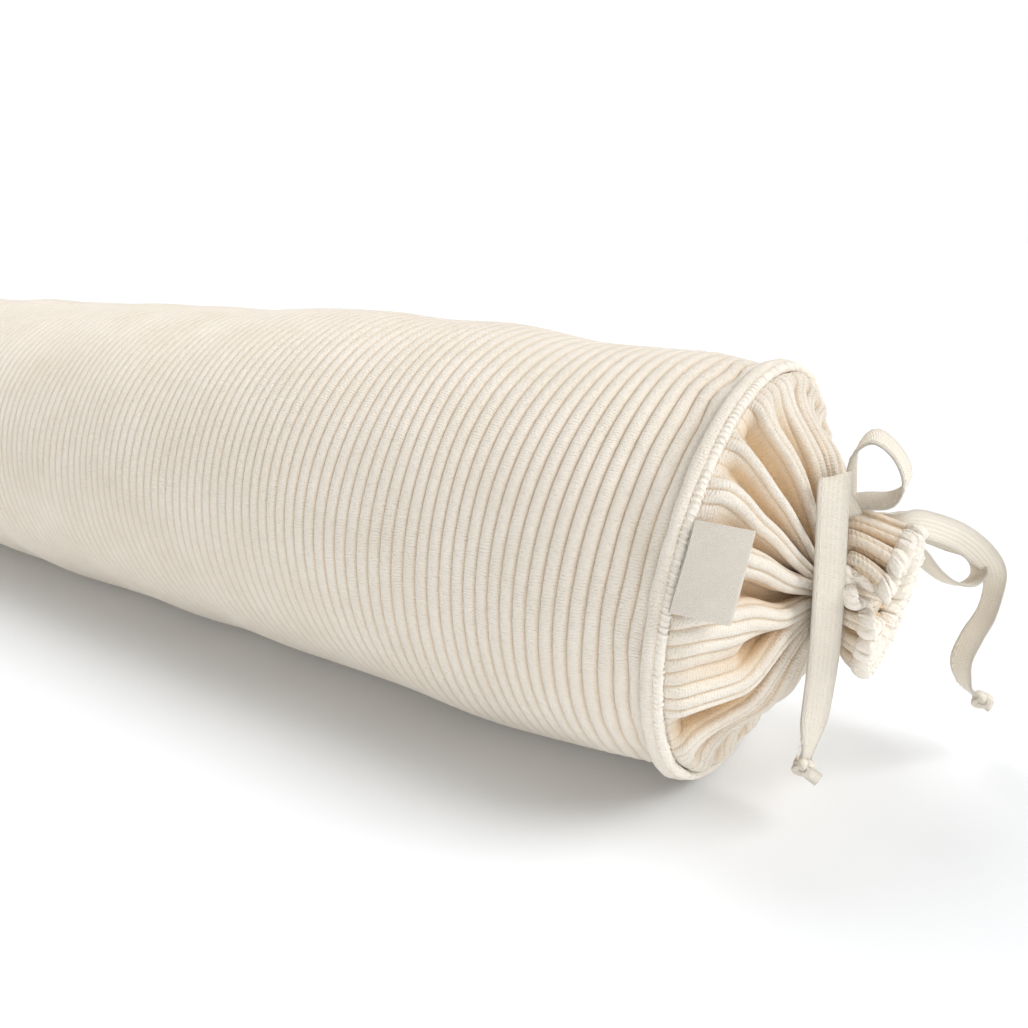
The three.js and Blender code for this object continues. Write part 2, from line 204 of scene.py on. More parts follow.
# %% Start a piece as flat cloth
def cloth_grid(name, columns, rows, size=(1, 1)):
    """A flat grid with its UV map in metres, and each vertex's column and row."""
    bpy.ops.object.select_all(action="DESELECT")
    bpy.ops.mesh.primitive_grid_add(x_subdivisions=columns, y_subdivisions=rows, size=1)
    piece = bpy.context.object
    piece.name = piece.data.name = name
    flat = points_of(piece)
    uv = np.zeros(len(piece.data.loops) * 2)
    piece.data.uv_layers[0].data.foreach_get("uv", uv)
    piece.data.uv_layers[0].data.foreach_set("uv", (uv.reshape(-1, 2) * size).ravel())
    column = np.rint((flat[:, 0] + 0.5) * columns).astype(int)
    row = np.rint((flat[:, 1] + 0.5) * rows).astype(int)
    return piece, column, row


def paint(piece, name, values):
    """Keeps a number for each vertex, which a material can read."""
    attribute = piece.data.attributes.new(name, "FLOAT", "POINT")
    attribute.data.foreach_set("value", np.asarray(values, np.float32))


# %% Close a piece and hand it over
MERGE_DISTANCE = 1e-6


def close_up(piece):
    """Joins the edges that meet, fills the ends and turns every face outwards."""
    select_only(piece)
    bpy.ops.object.mode_set(mode="EDIT")
    bpy.ops.mesh.select_all(action="SELECT")
    bpy.ops.mesh.remove_doubles(threshold=MERGE_DISTANCE)
    bpy.ops.mesh.fill_holes(sides=0)
    bpy.ops.mesh.select_all(action="SELECT")
    bpy.ops.mesh.normals_make_consistent(inside=False)
    bpy.ops.object.mode_set(mode="OBJECT")
    bpy.ops.object.shade_smooth()


def finish_piece(piece, material, slot, *nodes):
    """Gives a piece its material and its place in the part, and hides the CAD nodes that it replaces."""
    piece.data.materials.clear()
    piece.data.materials.append(material)
    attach(piece, "root")
    if nodes:
        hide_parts(*nodes)
    print(piece.name, len(piece.data.polygons), "faces")


# %% A gentle unevenness, as filled cloth has everywhere
UNEVEN_WAVES = 7


def uneven(along, angle, seed, reach, turns):
    """A sum of long waves, about -1 to 1, that closes on itself round the cushion."""
    random = np.random.default_rng(seed)
    total = 0
    for _ in range(UNEVEN_WAVES):
        wave = TURN / random.uniform(reach, 3 * reach)
        round_it = random.integers(0, turns + 1) * angle
        total = total + np.sin(wave * along + round_it + random.uniform(0, TURN))
    return total / math.sqrt(UNEVEN_WAVES)


# %% [markdown]
# ## Materials
#
# Velour has a short soft pile. It is matte, and it glows a little where it is seen edge-on, which is
# what the shader's sheen is for. The dips between the ribs and the valleys of the folds are deeper,
# and painted shade makes them darker and warmer in colour. So the material reads numbers that each
# piece keeps on its vertices: one is 0 on a rib and 1 in a dip, and one says how much painted shade
# a fold or the frill gets. The pile's grain is a fine noise in the cloth's own UV metres. Tape, label
# and thread are plain cotton.

# %% A plain cloth material to start from
SHEEN_TINT = (1.0, 0.97, 0.92, 1)
SHEEN_ROUGHNESS = 0.5
CLOTH_SPECULAR = 0.2


def new_material(name, roughness, sheen):
    material = bpy.data.materials.new(name)
    material.use_nodes = True
    shader = material.node_tree.nodes["Principled BSDF"]
    shader.inputs["Roughness"].default_value = roughness
    shader.inputs["Specular IOR Level"].default_value = CLOTH_SPECULAR
    shader.inputs["Sheen Weight"].default_value = sheen
    shader.inputs["Sheen Roughness"].default_value = SHEEN_ROUGHNESS
    shader.inputs["Sheen Tint"].default_value = SHEEN_TINT
    return material, shader


# %% Short ways to add and join nodes
class Wiring:
    """Short ways to add and join the nodes of one material, or of the world."""

    def __init__(self, material):
        self.tree = material.node_tree

    def add(self, kind, **settings):
        node = self.tree.nodes.new(kind)
        for key, value in settings.items():
            if hasattr(node, key):
                setattr(node, key, value)
            else:
                node.inputs[key.replace("_", " ")].default_value = value
        return node

    def join(self, output, socket):
        self.tree.links.new(output, socket)

    def feed(self, sockets, values):
        """Gives each socket its value, which is a number, a colour or another node's output."""
        for socket, value in zip(sockets, values):
            if hasattr(value, "is_linked"):
                self.join(value, socket)
            else:
                socket.default_value = value

    def mapped(self, scale):
        """The piece's UV map, multiplied by a scale for each direction."""
        source = self.add("ShaderNodeUVMap")
        mapping = self.add("ShaderNodeMapping")
        mapping.inputs["Scale"].default_value = (*scale, 1)
        self.join(source.outputs["UV"], mapping.inputs["Vector"])
        return mapping.outputs["Vector"]

    def noise(self, scale, detail=2.0):
        node = self.add("ShaderNodeTexNoise", Scale=1.0, Detail=detail)
        self.join(self.mapped(scale), node.inputs["Vector"])
        return node.outputs["Fac"]

    def spotted(self, scale):
        """A noise in the piece's own space, for what has no map."""
        node = self.add("ShaderNodeTexNoise", Scale=scale, Detail=2.0)
        self.join(self.add("ShaderNodeTexCoord").outputs["Object"], node.inputs["Vector"])
        return node.outputs["Fac"]

    def attribute(self, name):
        return self.add("ShaderNodeAttribute", attribute_name=name).outputs["Fac"]

    def mix(self, share, first, second):
        """A colour between two, each a colour or another node's output."""
        node = self.add("ShaderNodeMix", data_type="RGBA")
        self.feed((node.inputs[0], node.inputs[6], node.inputs[7]), (share, first, second))
        return node.outputs[2]

    def maths(self, operation, *values):
        node = self.add("ShaderNodeMath", operation=operation)
        self.feed(node.inputs, values)
        return node.outputs[0]

    def ramp(self, value, low, high):
        node = self.add("ShaderNodeMapRange", clamp=True)
        node.inputs["From Min"].default_value = low
        node.inputs["From Max"].default_value = high
        self.join(value, node.inputs["Value"])
        return node.outputs["Result"]

    def bump(self, height, distance, shader):
        node = self.add("ShaderNodeBump", Strength=1.0, Distance=distance)
        self.join(height, node.inputs["Height"])
        self.join(node.outputs["Normal"], shader.inputs["Normal"])


# %% The velour
# The dip and deep colours are painted shade: a darker, warmer colour in the dips between the ribs, and
# in the valleys of the folds, the frill and its inside.
VELOUR_CREST = (0.88, 0.81, 0.715, 1)
VELOUR_WORN = (0.835, 0.76, 0.65, 1)
VELOUR_DIP_SHADE = (0.74, 0.59, 0.42, 1)
VELOUR_SHADE = (0.73, 0.53, 0.325, 1)
WORN_RANGE, DIP_SHADE_RANGE, SHADE_RANGE = (0.35, 0.7), (0.3, 1.0), (0.1, 0.75)
GRAIN_SCALE, MOTTLE_SCALE, WANDER_SCALE = (1500, 1500), (35, 35), (240, 90)
STRIA_PITCH = 0.0011
STRIA_WANDER = 14.0
STRIA_SHARE = 0.11
PILE_BUMP = 0.0006


def velour():
    """Pile with a fine grain, faint lines across the ribs, and painted shade in the dips and folds."""
    material, shader = new_material("ribbed velour", 0.92, 0.35)
    nodes = Wiring(material)
    grain = nodes.noise(GRAIN_SCALE, 3)
    mottle = nodes.noise(MOTTLE_SCALE, 3)
    crest = nodes.mix(nodes.ramp(mottle, *WORN_RANGE), VELOUR_CREST, VELOUR_WORN)
    # Painted shade: the colour turns darker and warmer in the rib dips, and then by the folds' shade.
    dip_shaded = nodes.mix(nodes.ramp(nodes.attribute("dip"), *DIP_SHADE_RANGE), crest, VELOUR_DIP_SHADE)
    colour = nodes.mix(nodes.ramp(nodes.attribute("deep"), *SHADE_RANGE), dip_shaded, VELOUR_SHADE)
    nodes.join(colour, shader.inputs["Base Color"])
    position = nodes.add("ShaderNodeSeparateXYZ")
    turns = TURN / STRIA_PITCH
    nodes.join(nodes.mapped((turns, turns)), position.inputs["Vector"])
    wander = nodes.maths("MULTIPLY", nodes.noise(WANDER_SCALE, 2), STRIA_WANDER)
    lines = nodes.maths("SINE", nodes.maths("ADD", position.outputs["Y"], wander))
    height = nodes.maths("ADD", nodes.maths("MULTIPLY", lines, STRIA_SHARE), grain)
    nodes.bump(height, PILE_BUMP, shader)
    return material


RIBBED_VELOUR = velour()
print("made", RIBBED_VELOUR.name)

# %% The seam thread
THREAD_COLOUR = (0.89, 0.84, 0.755, 1)
THREAD_FUZZ = 800
THREAD_BUMP = 0.0006


def thread():
    """Soft overlock thread, with a fuzz that follows the piece and not a map."""
    material, shader = new_material("seam thread", 0.9, 0.3)
    nodes = Wiring(material)
    fuzz = nodes.spotted(THREAD_FUZZ)
    nodes.join(nodes.mix(fuzz, THREAD_COLOUR, VELOUR_CREST), shader.inputs["Base Color"])
    nodes.bump(fuzz, THREAD_BUMP, shader)
    return material


SEAM_THREAD = thread()
print("made", SEAM_THREAD.name)

# %% The woven cotton of the tape and the label: a colour and a duller one
TAPE_COLOURS = (0.885, 0.82, 0.715, 1), (0.85, 0.785, 0.67, 1)
LABEL_COLOURS = (0.73, 0.675, 0.595, 1), (0.69, 0.635, 0.555, 1)
DULL_RANGE, DULL_SCALE = (0.3, 0.8), (60, 60)
WEAVE_SCALE = (9000, 9000)
WEAVE_BUMP = 0.00012


def woven(name, colour, dull):
    """Plain woven cotton: two sets of fine ridges that cross."""
    material, shader = new_material(name, 0.85, 0.15)
    nodes = Wiring(material)
    tone = nodes.noise(DULL_SCALE, 3)
    nodes.join(nodes.mix(nodes.ramp(tone, *DULL_RANGE), colour, dull), shader.inputs["Base Color"])
    position = nodes.add("ShaderNodeSeparateXYZ")
    nodes.join(nodes.mapped(WEAVE_SCALE), position.inputs["Vector"])
    warp = nodes.maths("SINE", position.outputs["X"])
    weft = nodes.maths("SINE", position.outputs["Y"])
    nodes.bump(nodes.maths("MULTIPLY", warp, weft), WEAVE_BUMP, shader)
    return material


TAPE_COTTON = woven("tape cotton", *TAPE_COLOURS)
LABEL_COTTON = woven("label cotton", *LABEL_COLOURS)
print("made", TAPE_COTTON.name, "and", LABEL_COTTON.name)

# %% [markdown]
# ## The tie: a flat cotton tape
#
# The tie is one flat tape, 10 mm wide, knotted in a bow. A flat tape twists as it hangs, so each row of
# a route gives a point and also the direction of the tape's width there. The route is made smooth, a
# rounded flat section is swept along it, and the real length of each stretch is printed.


# %% The tape's routes: a point and the direction of its width
TAPE_WIDTH = 0.010
TAPE_THICKNESS = 0.0011
LOOP_FRONT = [
    (0.4482, -0.0015, 0.1068, 0.05, 1.0, -0.2),
    (0.4476, -0.0015, 0.1130, 0.05, 1.0, -0.2),
    (0.4480, -0.0015, 0.1235, -0.1, 0.9, 0.1),
    (0.4532, -0.0010, 0.1296, -0.15, 0.85, 0.3),
    (0.4606, -0.0005, 0.1252, 0.0, 1.0, 0.15),
    (0.4645, 0.0000, 0.1170, 0.0, 1.0, 0.1),
    (0.4610, -0.0005, 0.1100, -0.3, 0.9, 0.3),
    (0.4530, -0.0010, 0.1082, -0.35, 0.9, 0.35),
    (0.4478, -0.0015, 0.1070, -0.4, 0.9, 0.3),
]
LOOP_BACK = [
    (0.4530, 0.0058, 0.1018, 0.83, -0.53, 0.3),
    (0.4574, 0.0155, 0.0984, 0.36, -0.49, 0.8),
    (0.4636, 0.0298, 0.0938, 0.16, -0.22, 0.96),
    (0.4706, 0.0452, 0.0866, 0.52, -0.1, 0.86),
    (0.4772, 0.0549, 0.0792, 0.65, -0.6, 0.5),
    (0.4798, 0.0563, 0.0726, 0.62, -0.74, 0.27),
    (0.4776, 0.0488, 0.0698, 0.62, -0.74, 0.27),
    (0.4730, 0.0390, 0.0730, 0.66, -0.70, 0.27),
    (0.4680, 0.0316, 0.0792, 0.83, -0.5, 0.15),
    (0.4635, 0.0256, 0.0868, 0.85, -0.5, 0.2),
    (0.4585, 0.0154, 0.0930, 0.83, -0.55, 0.25),
    (0.4530, 0.0050, 0.0968, 0.83, -0.55, 0.25),
]
TAIL_FRONT = [
    (0.4496, -0.0089, 0.1036, 0.93, 0.37, 0.0),
    (0.4474, -0.0122, 0.1104, 0.6, 0.80, 0.0),
    (0.4478, -0.0165, 0.1166, 0.74, 0.64, 0.2),
    (0.4487, -0.0213, 0.1196, 0.77, 0.56, 0.31),
    (0.4496, -0.0252, 0.1168, 0.79, 0.58, 0.2),
    (0.4504, -0.0270, 0.1095, 0.81, 0.59, 0.05),
    (0.4516, -0.0276, 0.0880, 0.81, 0.59, 0.0),
    (0.4522, -0.0278, 0.0660, 0.81, 0.59, 0.0),
    (0.4516, -0.0278, 0.0480, 0.72, 0.69, 0.0),
    (0.4506, -0.0278, 0.0330, 0.6, 0.80, 0.0),
    (0.4496, -0.0280, 0.0250, 0.6, 0.80, 0.0),
]
TAIL_BACK = [
    (0.4534, 0.0050, 0.1026, 0.83, -0.53, 0.3),
    (0.4584, 0.0134, 0.0988, 0.36, -0.49, 0.8),
    (0.4660, 0.0265, 0.0956, -0.06, 0.08, 0.99),
    (0.4750, 0.0402, 0.0892, 0.34, 0.22, 0.90),
    (0.4820, 0.0512, 0.0800, 0.58, -0.14, 0.78),
    (0.4852, 0.0566, 0.0710, 0.74, -0.50, 0.36),
    (0.4846, 0.0554, 0.0590, 0.75, -0.66, 0.0),
    (0.4816, 0.0502, 0.0500, 0.83, -0.55, 0.0),
    (0.4796, 0.0470, 0.0410, 0.83, -0.55, 0.05),
    (0.4810, 0.0496, 0.0316, 0.83, -0.55, 0.05),
    (0.4844, 0.0548, 0.0254, 0.83, -0.55, 0.0),
]


# %% Sweep the tape's section along a route
SECTION_POINTS = 28
EDGE_ROUND, FACE_ROUND = 0.35, 0.6
STITCH_INSET = 0.0015
STITCH_DENT, STITCH_DENT_WIDE = 0.3, 0.0005


def frames_along(rows, spacing):
    """Points along a route with the tape's width, its facing and its direction at each."""
    path, length = smooth_path(rows, spacing)
    centres = path[:, :3]
    ahead = np.gradient(centres, axis=0)
    ahead /= np.linalg.norm(ahead, axis=1, keepdims=True)
    across = path[:, 3:] - ahead * np.sum(path[:, 3:] * ahead, axis=1, keepdims=True)
    across /= np.linalg.norm(across, axis=1, keepdims=True)
    return centres, across, np.cross(ahead, across), ahead, length


def swept(name, frames, width, thickness, round_edge=EDGE_ROUND):
    """A flat strip with rounded edges, swept along frames. Its width may change along the way."""
    centres, across, facing, _, length = frames
    steps = len(centres) - 1
    around = 2 * TAPE_WIDTH
    piece, column, row = cloth_grid(name, SECTION_POINTS, steps, (around, length))
    turn = column / SECTION_POINTS * TURN
    wide = np.sign(np.cos(turn)) * np.abs(np.cos(turn)) ** round_edge
    thick = np.sign(np.sin(turn)) * np.abs(np.sin(turn)) ** FACE_ROUND
    from_stitches = (wide + 1) * TAPE_WIDTH / 2 - STITCH_INSET
    stitched = 1 - STITCH_DENT * bell(from_stitches, STITCH_DENT_WIDE)
    half_width = np.broadcast_to(width, steps + 1)[row, None] / 2
    points = centres[row] + across[row] * wide[:, None] * half_width
    points = points + facing[row] * (thick * stitched)[:, None] * thickness / 2
    move_points(piece, points)
    close_up(piece)
    return piece


# %% A small part that repeats is made once and copied along a path
def copies(name, unit, places):
    """One mesh that holds a copy of the unit at each place, a 4 x 4 matrix."""
    points, faces = points_of(unit), [list(face.vertices) for face in unit.data.polygons]
    all_points, all_faces = [], []
    for number, matrix in enumerate(places):
        all_points.append(points @ matrix[:3, :3].T + matrix[:3, 3])
        all_faces += [[index + number * len(points) for index in face] for face in faces]
    mesh = bpy.data.meshes.new(name)
    mesh.from_pydata(np.vstack(all_points).tolist(), [], all_faces)
    mesh.update()
    bpy.data.objects.remove(unit)
    piece = bpy.data.objects.new(name, mesh)
    bpy.context.scene.collection.objects.link(piece)
    select_only(piece)
    bpy.ops.object.shade_smooth()
    return piece


# %% The stitches along the tape: dashes of thread
STITCH_SIZE = (0.0024, 0.00042, 0.0004)
STITCH_SPACING = 0.0032
STITCH_LIFT = 0.42


def ball(name, segments, rings):
    """A round ball one unit across at the origin, to be shaped."""
    bpy.ops.object.select_all(action="DESELECT")
    bpy.ops.mesh.primitive_uv_sphere_add(segments=segments, ring_count=rings, radius=0.5)
    piece = bpy.context.object
    piece.name = piece.data.name = name
    return piece


def stitch_row(name, frames):
    """Dashes of thread along one edge of a tape, on both of its faces."""
    centres, across, facing, ahead, length = frames
    count = round(length / STITCH_SPACING)
    places = []
    for side in (-1, 1):
        for number in range(count):
            index = round((number + 0.5) / count * (len(centres) - 1))
            matrix = np.eye(4)
            matrix[:3, 0], matrix[:3, 1], matrix[:3, 2] = ahead[index], across[index], facing[index]
            matrix[:3, 3] = (
                centres[index]
                - across[index] * (TAPE_WIDTH / 2 - STITCH_INSET)
                + facing[index] * side * TAPE_THICKNESS * STITCH_LIFT
            )
            places.append(matrix)
    dash = ball("stitch", 8, 6)
    move_points(dash, points_of(dash) * STITCH_SIZE)
    return copies(name, dash, places)


# %% Make the loops and the tails
TAPE_SPACING = 0.0015
PATH_STEP = 3
TAPER_LENGTH, TAPER_SHARE = 0.016, 0.56


def tape_piece(name, route, knot_end):
    """One stretch of the tape, its stitches, its length and the points that it follows."""
    frames = frames_along(route, TAPE_SPACING)
    length = frames[-1]
    to_end = length * (1 - np.linspace(0, 1, len(frames[0])))
    narrow = TAPER_SHARE * (1 - smoothstep(to_end, 0, TAPER_LENGTH)) if knot_end else 0 * to_end
    piece = swept(name, frames, TAPE_WIDTH * (1 - narrow), TAPE_THICKNESS)
    stitches = stitch_row(name + "_stitches", frames)
    print(name, "is", round(length, 4), "m long")
    return piece, stitches, length, frames[0][::PATH_STEP]


loops = {
    "bow_loop_front": tape_piece("front_loop", LOOP_FRONT, False),
    "bow_loop_back": tape_piece("back_loop", LOOP_BACK, False),
}
tails = {
    "tie_tail_front": tape_piece("front_tail", TAIL_FRONT, True),
    "tie_tail_back": tape_piece("back_tail", TAIL_BACK, True),
}

# %% [markdown]
# ## The knots
#
# Each tail ends in a small overhand knot. The curve of such a knot is a trefoil, so a flat strip swept
# along a small trefoil gives the crossing lumps of a pulled-tight tape. The bow's own knot is a short
# band of tape round a core, so it is a crumpled barrel with two turns of tape over it.

# %% The small knots at the ends of the tails
TREFOIL_STEPS = 72
TREFOIL_HIGH = 1.4
TREFOIL_SPAN = 4.4
STRAND_FACING = (0.1, 1.0, 0.15)
STRAND_SHARE, STRAND_THICK, STRAND_ROUND, STRAND_SPACING = 0.62, 0.0027, 0.7, 0.0006
STUB_WIDTH, STUB_THICK, STUB_ROUND, STUB_SPACING = 0.0046, 0.0021, 0.6, 0.0008


def small_knot(name, centre, size, stub):
    """An overhand knot pulled tight in the tape, with its cut end standing out."""
    turn = np.linspace(0, TURN, TREFOIL_STEPS + 1)
    reach = 2 + np.cos(3 * turn)
    high = TREFOIL_HIGH * np.sin(3 * turn)
    curve = np.stack([reach * np.cos(2 * turn), high, reach * np.sin(2 * turn)], axis=-1)
    points = curve / TREFOIL_SPAN * np.array(size) / 2 + np.array(centre)
    rows = np.hstack([points, np.tile(STRAND_FACING, (len(points), 1))])
    strand = frames_along(rows, STRAND_SPACING)
    lump = swept(name, strand, size[1] * STRAND_SHARE, STRAND_THICK, STRAND_ROUND)
    cut_end = swept(name + "_end", frames_along(stub, STUB_SPACING), STUB_WIDTH, STUB_THICK, STUB_ROUND)
    select_only(lump)
    cut_end.select_set(True)
    bpy.ops.object.join()
    return lump


knot_front = small_knot(
    "front_tail_knot",
    (0.4490, -0.0286, 0.0226),
    (0.0066, 0.0066, 0.0056),
    [
        (0.4492, -0.0284, 0.0224, 0.6, 0.8, 0.3),
        (0.4512, -0.0272, 0.0200, 0.6, 0.7, 0.4),
        (0.4536, -0.0256, 0.0178, 0.55, 0.6, 0.5),
    ],
)
knot_back = small_knot(
    "back_tail_knot",
    (0.4866, 0.0578, 0.0226),
    (0.0070, 0.0070, 0.0056),
    [
        (0.4868, 0.0580, 0.0224, 0.5, 0.87, 0),
        (0.4886, 0.0594, 0.0208, 0.5, 0.87, 0),
        (0.4896, 0.0602, 0.0196, 0.5, 0.87, 0),
    ],
)

# %% The knot of the bow
KNOT_CENTRE = np.array((0.4464, -0.0026, 0.1018))
KNOT_SIZE = np.array((0.0058, 0.0080, 0.0068))
KNOT_FULLNESS = 0.8
CREASE_DEPTH = 0.14


def bow_knot():
    """A full little barrel with two creases, where one turn of tape lies beside the next."""
    core = ball("bow_knot", 48, 32)
    points = points_of(core)
    turn = np.arctan2(points[:, 2], points[:, 0])
    crease = bell(points[:, 1] - 0.12 * np.sin(turn), 0.05)
    crease = crease + bell(points[:, 1] + 0.3 + 0.1 * np.cos(turn), 0.04)
    full = np.sign(points) * np.abs(points * 2) ** KNOT_FULLNESS / 2
    move_points(core, full * (1 - CREASE_DEPTH * crease[:, None]) * KNOT_SIZE + KNOT_CENTRE)
    select_only(core)
    bpy.ops.object.shade_smooth()
    return core


# %% The tape round the neck
WRAP_MIDDLE = 0.03185
WRAP_RADIUS = 0.0195
WRAP_TURNS = 2
WRAP_STEPS = 180
WRAP_APART, WRAP_SWAY = 0.0022, 0.0006
WRAP_RISE, WRAP_RIPPLE = 0.0006, 0.0002
WRAP_WIDTH, WRAP_THICK = 0.0048, 0.0012
OUTWARD_STEP = 0.001


def neck_wrap():
    """Two turns of tape round the neck, one slightly over the other."""
    angle = BOTTOM + TURN * np.linspace(0, 1, WRAP_STEPS + 1)
    turns = []
    for number in range(WRAP_TURNS):
        out = WRAP_MIDDLE + (number - 0.5) * WRAP_APART + WRAP_SWAY * np.sin(2 * angle + number)
        radius = WRAP_RADIUS + number * WRAP_RISE + WRAP_RIPPLE * np.sin(5 * angle)
        centres = place(HALF + out, radius, angle)
        facing = place(HALF + out, radius + OUTWARD_STEP, angle) - centres
        facing /= np.linalg.norm(facing, axis=1, keepdims=True)
        ahead = np.gradient(centres, axis=0)
        ahead[0] = ahead[-1] = centres[1] - centres[-2]
        ahead /= np.linalg.norm(ahead, axis=1, keepdims=True)
        frames = centres, np.cross(facing, ahead), facing, ahead, TURN * WRAP_RADIUS
        turns.append(swept("neck_wrap", frames, WRAP_WIDTH, WRAP_THICK))
    select_only(turns[0])
    turns[1].select_set(True)
    bpy.ops.object.join()
    return turns[0]


# %% Finish the knots and the wrap
finish_piece(bow_knot(), TAPE_COTTON, "tape_cotton", "tie_knot")
finish_piece(neck_wrap(), TAPE_COTTON, "tape_cotton", "tie_wrap")
finish_piece(knot_front, TAPE_COTTON, "tape_cotton", "tail_knot_front")
finish_piece(knot_back, TAPE_COTTON, "tape_cotton", "tail_knot_back")

for node, (piece, stitches, length, path) in loops.items():
    finish_piece(piece, TAPE_COTTON, "tape_cotton", node)
    finish_piece(stitches, SEAM_THREAD, "seam_thread")
for (node, (piece, stitches, length, path)), end_knot in zip(tails.items(), (knot_front, knot_back)):
    finish_piece(piece, TAPE_COTTON, "tape_cotton", node)
    finish_piece(stitches, SEAM_THREAD, "seam_thread")

# %% [markdown]
# ## The body
#
# The body is one piece of ribbed cloth rolled into a tube and filled. Real filling is never even: the
# body swells and slackens along its length, which a short table gives as shares of its radius. A flat
# grid is rolled round the axis, six rows of faces to each rib, with the rows crowded toward the dips
# so that a dip stays narrow and a rib stays round.

# %% The crown of the body: how full it is, by the distance from the tied seam
CROWN_FROM = (
    0, 0.010, 0.030, 0.075, 0.118, 0.172, 0.238, 0.315, 0.410, 0.527, 0.640, 0.740, 0.805, 0.832,
)
CROWN_TOP = (
    0.935, 0.932, 0.965, 0.970, 1.015, 1.041, 1.024, 1.003, 0.986, 0.956, 0.975, 0.990, 0.970, 0.935,
)
CROWN_UNDER = (
    0.935, 0.955, 0.972, 0.993, 0.997, 0.997, 0.996, 1.010, 1.020, 1.006, 1.000, 0.995, 0.975, 0.935,
)
print("the body is measured at", len(CROWN_FROM), "places along its length")

# %% A rib's section, the same on every ribbed piece
RIB_ROWS = np.array((-0.5, -0.42, -0.25, 0.0, 0.25, 0.42))

# A half round would stand upright at its edges. The section stops this little short of that.
RIB_EDGE = 0.03


def rib_dip(phase):
    """How deep a rib's surface lies below its crest: 0 on the crest, 1 in the dip, by the phase."""
    off = (phase + 0.5) % 1 - 0.5
    edge = math.sqrt(RIB_EDGE)
    return (1 - np.sqrt(1 - (1 - RIB_EDGE) * (2 * off) ** 2)) / (1 - edge)


# %% Roll the body's cloth into a tube
BODY_COLUMNS = 100
BODY_EASE = 0.02
SLACK_OUT, SLACK_ALONG = 0.0005, 0.0007
PUCKER_AT, PUCKER_REACH = 0.011, 0.010
PUCKER_OUT, PUCKER_ALONG = 0.0009, 0.0006
TIGHT_MORE, TIGHT_FROM, TIGHT_TO = 0.4, 0.02, 0.10


def body():
    """The ribbed tube, slack in places, a little puckered and deeper ribbed near the tied seam."""
    per_rib = len(RIB_ROWS)
    size = (2 * HALF, TURN * RADIUS)
    piece, row, column = cloth_grid("body_cover", RIB_COUNT * per_rib, BODY_COLUMNS, size)
    phase = row // per_rib + RIB_ROWS[row % per_rib] + 0.5
    along = phase * RIB_PITCH - HALF
    dip = rib_dip(phase - 0.5)
    angle = BOTTOM + TURN * (column % BODY_COLUMNS) / BODY_COLUMNS
    upness = (1 + np.sin(angle)) / 2
    top = np.interp(HALF - along, CROWN_FROM, CROWN_TOP)
    under = np.interp(HALF - along, CROWN_FROM, CROWN_UNDER)
    from_seam = HALF - np.abs(along)
    inside = smoothstep(from_seam, 0, BODY_EASE)
    radius = RADIUS * blend(under, top, upness)
    radius += inside * SLACK_OUT * uneven(along, angle, 3, 0.05, 5)
    puckered = bell(HALF - along - PUCKER_AT, PUCKER_REACH)
    radius += PUCKER_OUT * puckered * uneven(along, angle, 6, 0.02, 22)
    tight = 1 + TIGHT_MORE * (1 - smoothstep(HALF - along, TIGHT_FROM, TIGHT_TO))
    radius -= RIB_HEIGHT * tight * dip * np.clip(from_seam / RIB_PITCH, 0, 1)
    along = along + inside * SLACK_ALONG * uneven(along, angle, 4, 0.06, 6)
    along = along + PUCKER_ALONG * puckered * uneven(along, angle, 7, 0.03, 18)
    move_points(piece, place(along, radius, angle))
    # The dip share is also the velour's painted shade in the dips between the ribs.
    paint(piece, "dip", dip)
    close_up(piece)
    return piece


tube = body()
finish_piece(tube, RIBBED_VELOUR, "ribbed_velour", "tube_panel")

# %% [markdown]
# ## The gathered end
#
# This is the heart of the piece. A strip of the same cloth, ribs running toward the middle, is sewn on
# and pulled together at the neck. The cloth does not shrink, so what no longer fits round the smaller
# circle goes into folds: the ribs keep their width, and disappear into the folds one after another. A
# pumpkin shape with ribs that grow thin would look wrong. A folded cloth bends as little as it can,
# and its section is close to a curve whose direction swings to and fro evenly. So each fold is such a
# curve, and its swing is worked out from how much cloth has to fit in how little room.

# %% The profile from the seam over the dome and the neck to the frill's rim: out and radius
END_RIBS = 97
PER_RIB = 8
END_COLUMNS = END_RIBS * PER_RIB
CLOTH_ROUND = END_RIBS * RIB_PITCH

# Each row: out from the seam, out from the axis, and a 0, because smooth_path measures in 3D.
PROFILE = [
    (0.00015, 0.0748, 0), (0.0034, 0.0752, 0), (0.0080, 0.0730, 0), (0.0126, 0.0660, 0),
    (0.0170, 0.0565, 0), (0.0210, 0.0470, 0), (0.0246, 0.0350, 0), (0.0268, 0.0235, 0),
    (0.0282, 0.0180, 0), (0.0318, 0.0170, 0), (0.0352, 0.0178, 0), (0.0362, 0.0210, 0),
    (0.0366, 0.0240, 0), (0.0380, 0.0262, 0), (0.0410, 0.0272, 0), (0.0455, 0.0270, 0),
    (0.0495, 0.0268, 0),
]
PROFILE_SPACING = 0.0017


def profile_rows():
    """The profile's rows: out, radius, the profile's outward direction, and the way gone."""
    path, length = smooth_path(PROFILE, PROFILE_SPACING)
    along = np.gradient(path[:, :2], axis=0)
    along /= np.linalg.norm(along, axis=1, keepdims=True)
    return path[:, 0], path[:, 1], -along[:, 1], along[:, 0], np.linspace(0, length, len(path))


END_ROWS = profile_rows()
NECK_GONE = END_ROWS[-1][np.argmin(END_ROWS[1])]
print("from the seam to the neck it is", round(NECK_GONE, 4), "m along the cloth")

# %% [markdown]
# ### How the cloth is folded
#
# Each row of the table below is one fold. It gives the angle of the fold's valley in degrees, once at
# the seam and once at the neck, because folds run a little aslant. Then come its pulls, at the seam,
# half-way and at the neck: a larger pull leaves the fold less room, and so makes it deeper. The last
# number says how open it is. An open fold has a wide valley and a sharp ridge, and a closed one has
# it the other way round. The valleys in front lie where the real ones do, and those behind are spread
# about evenly.

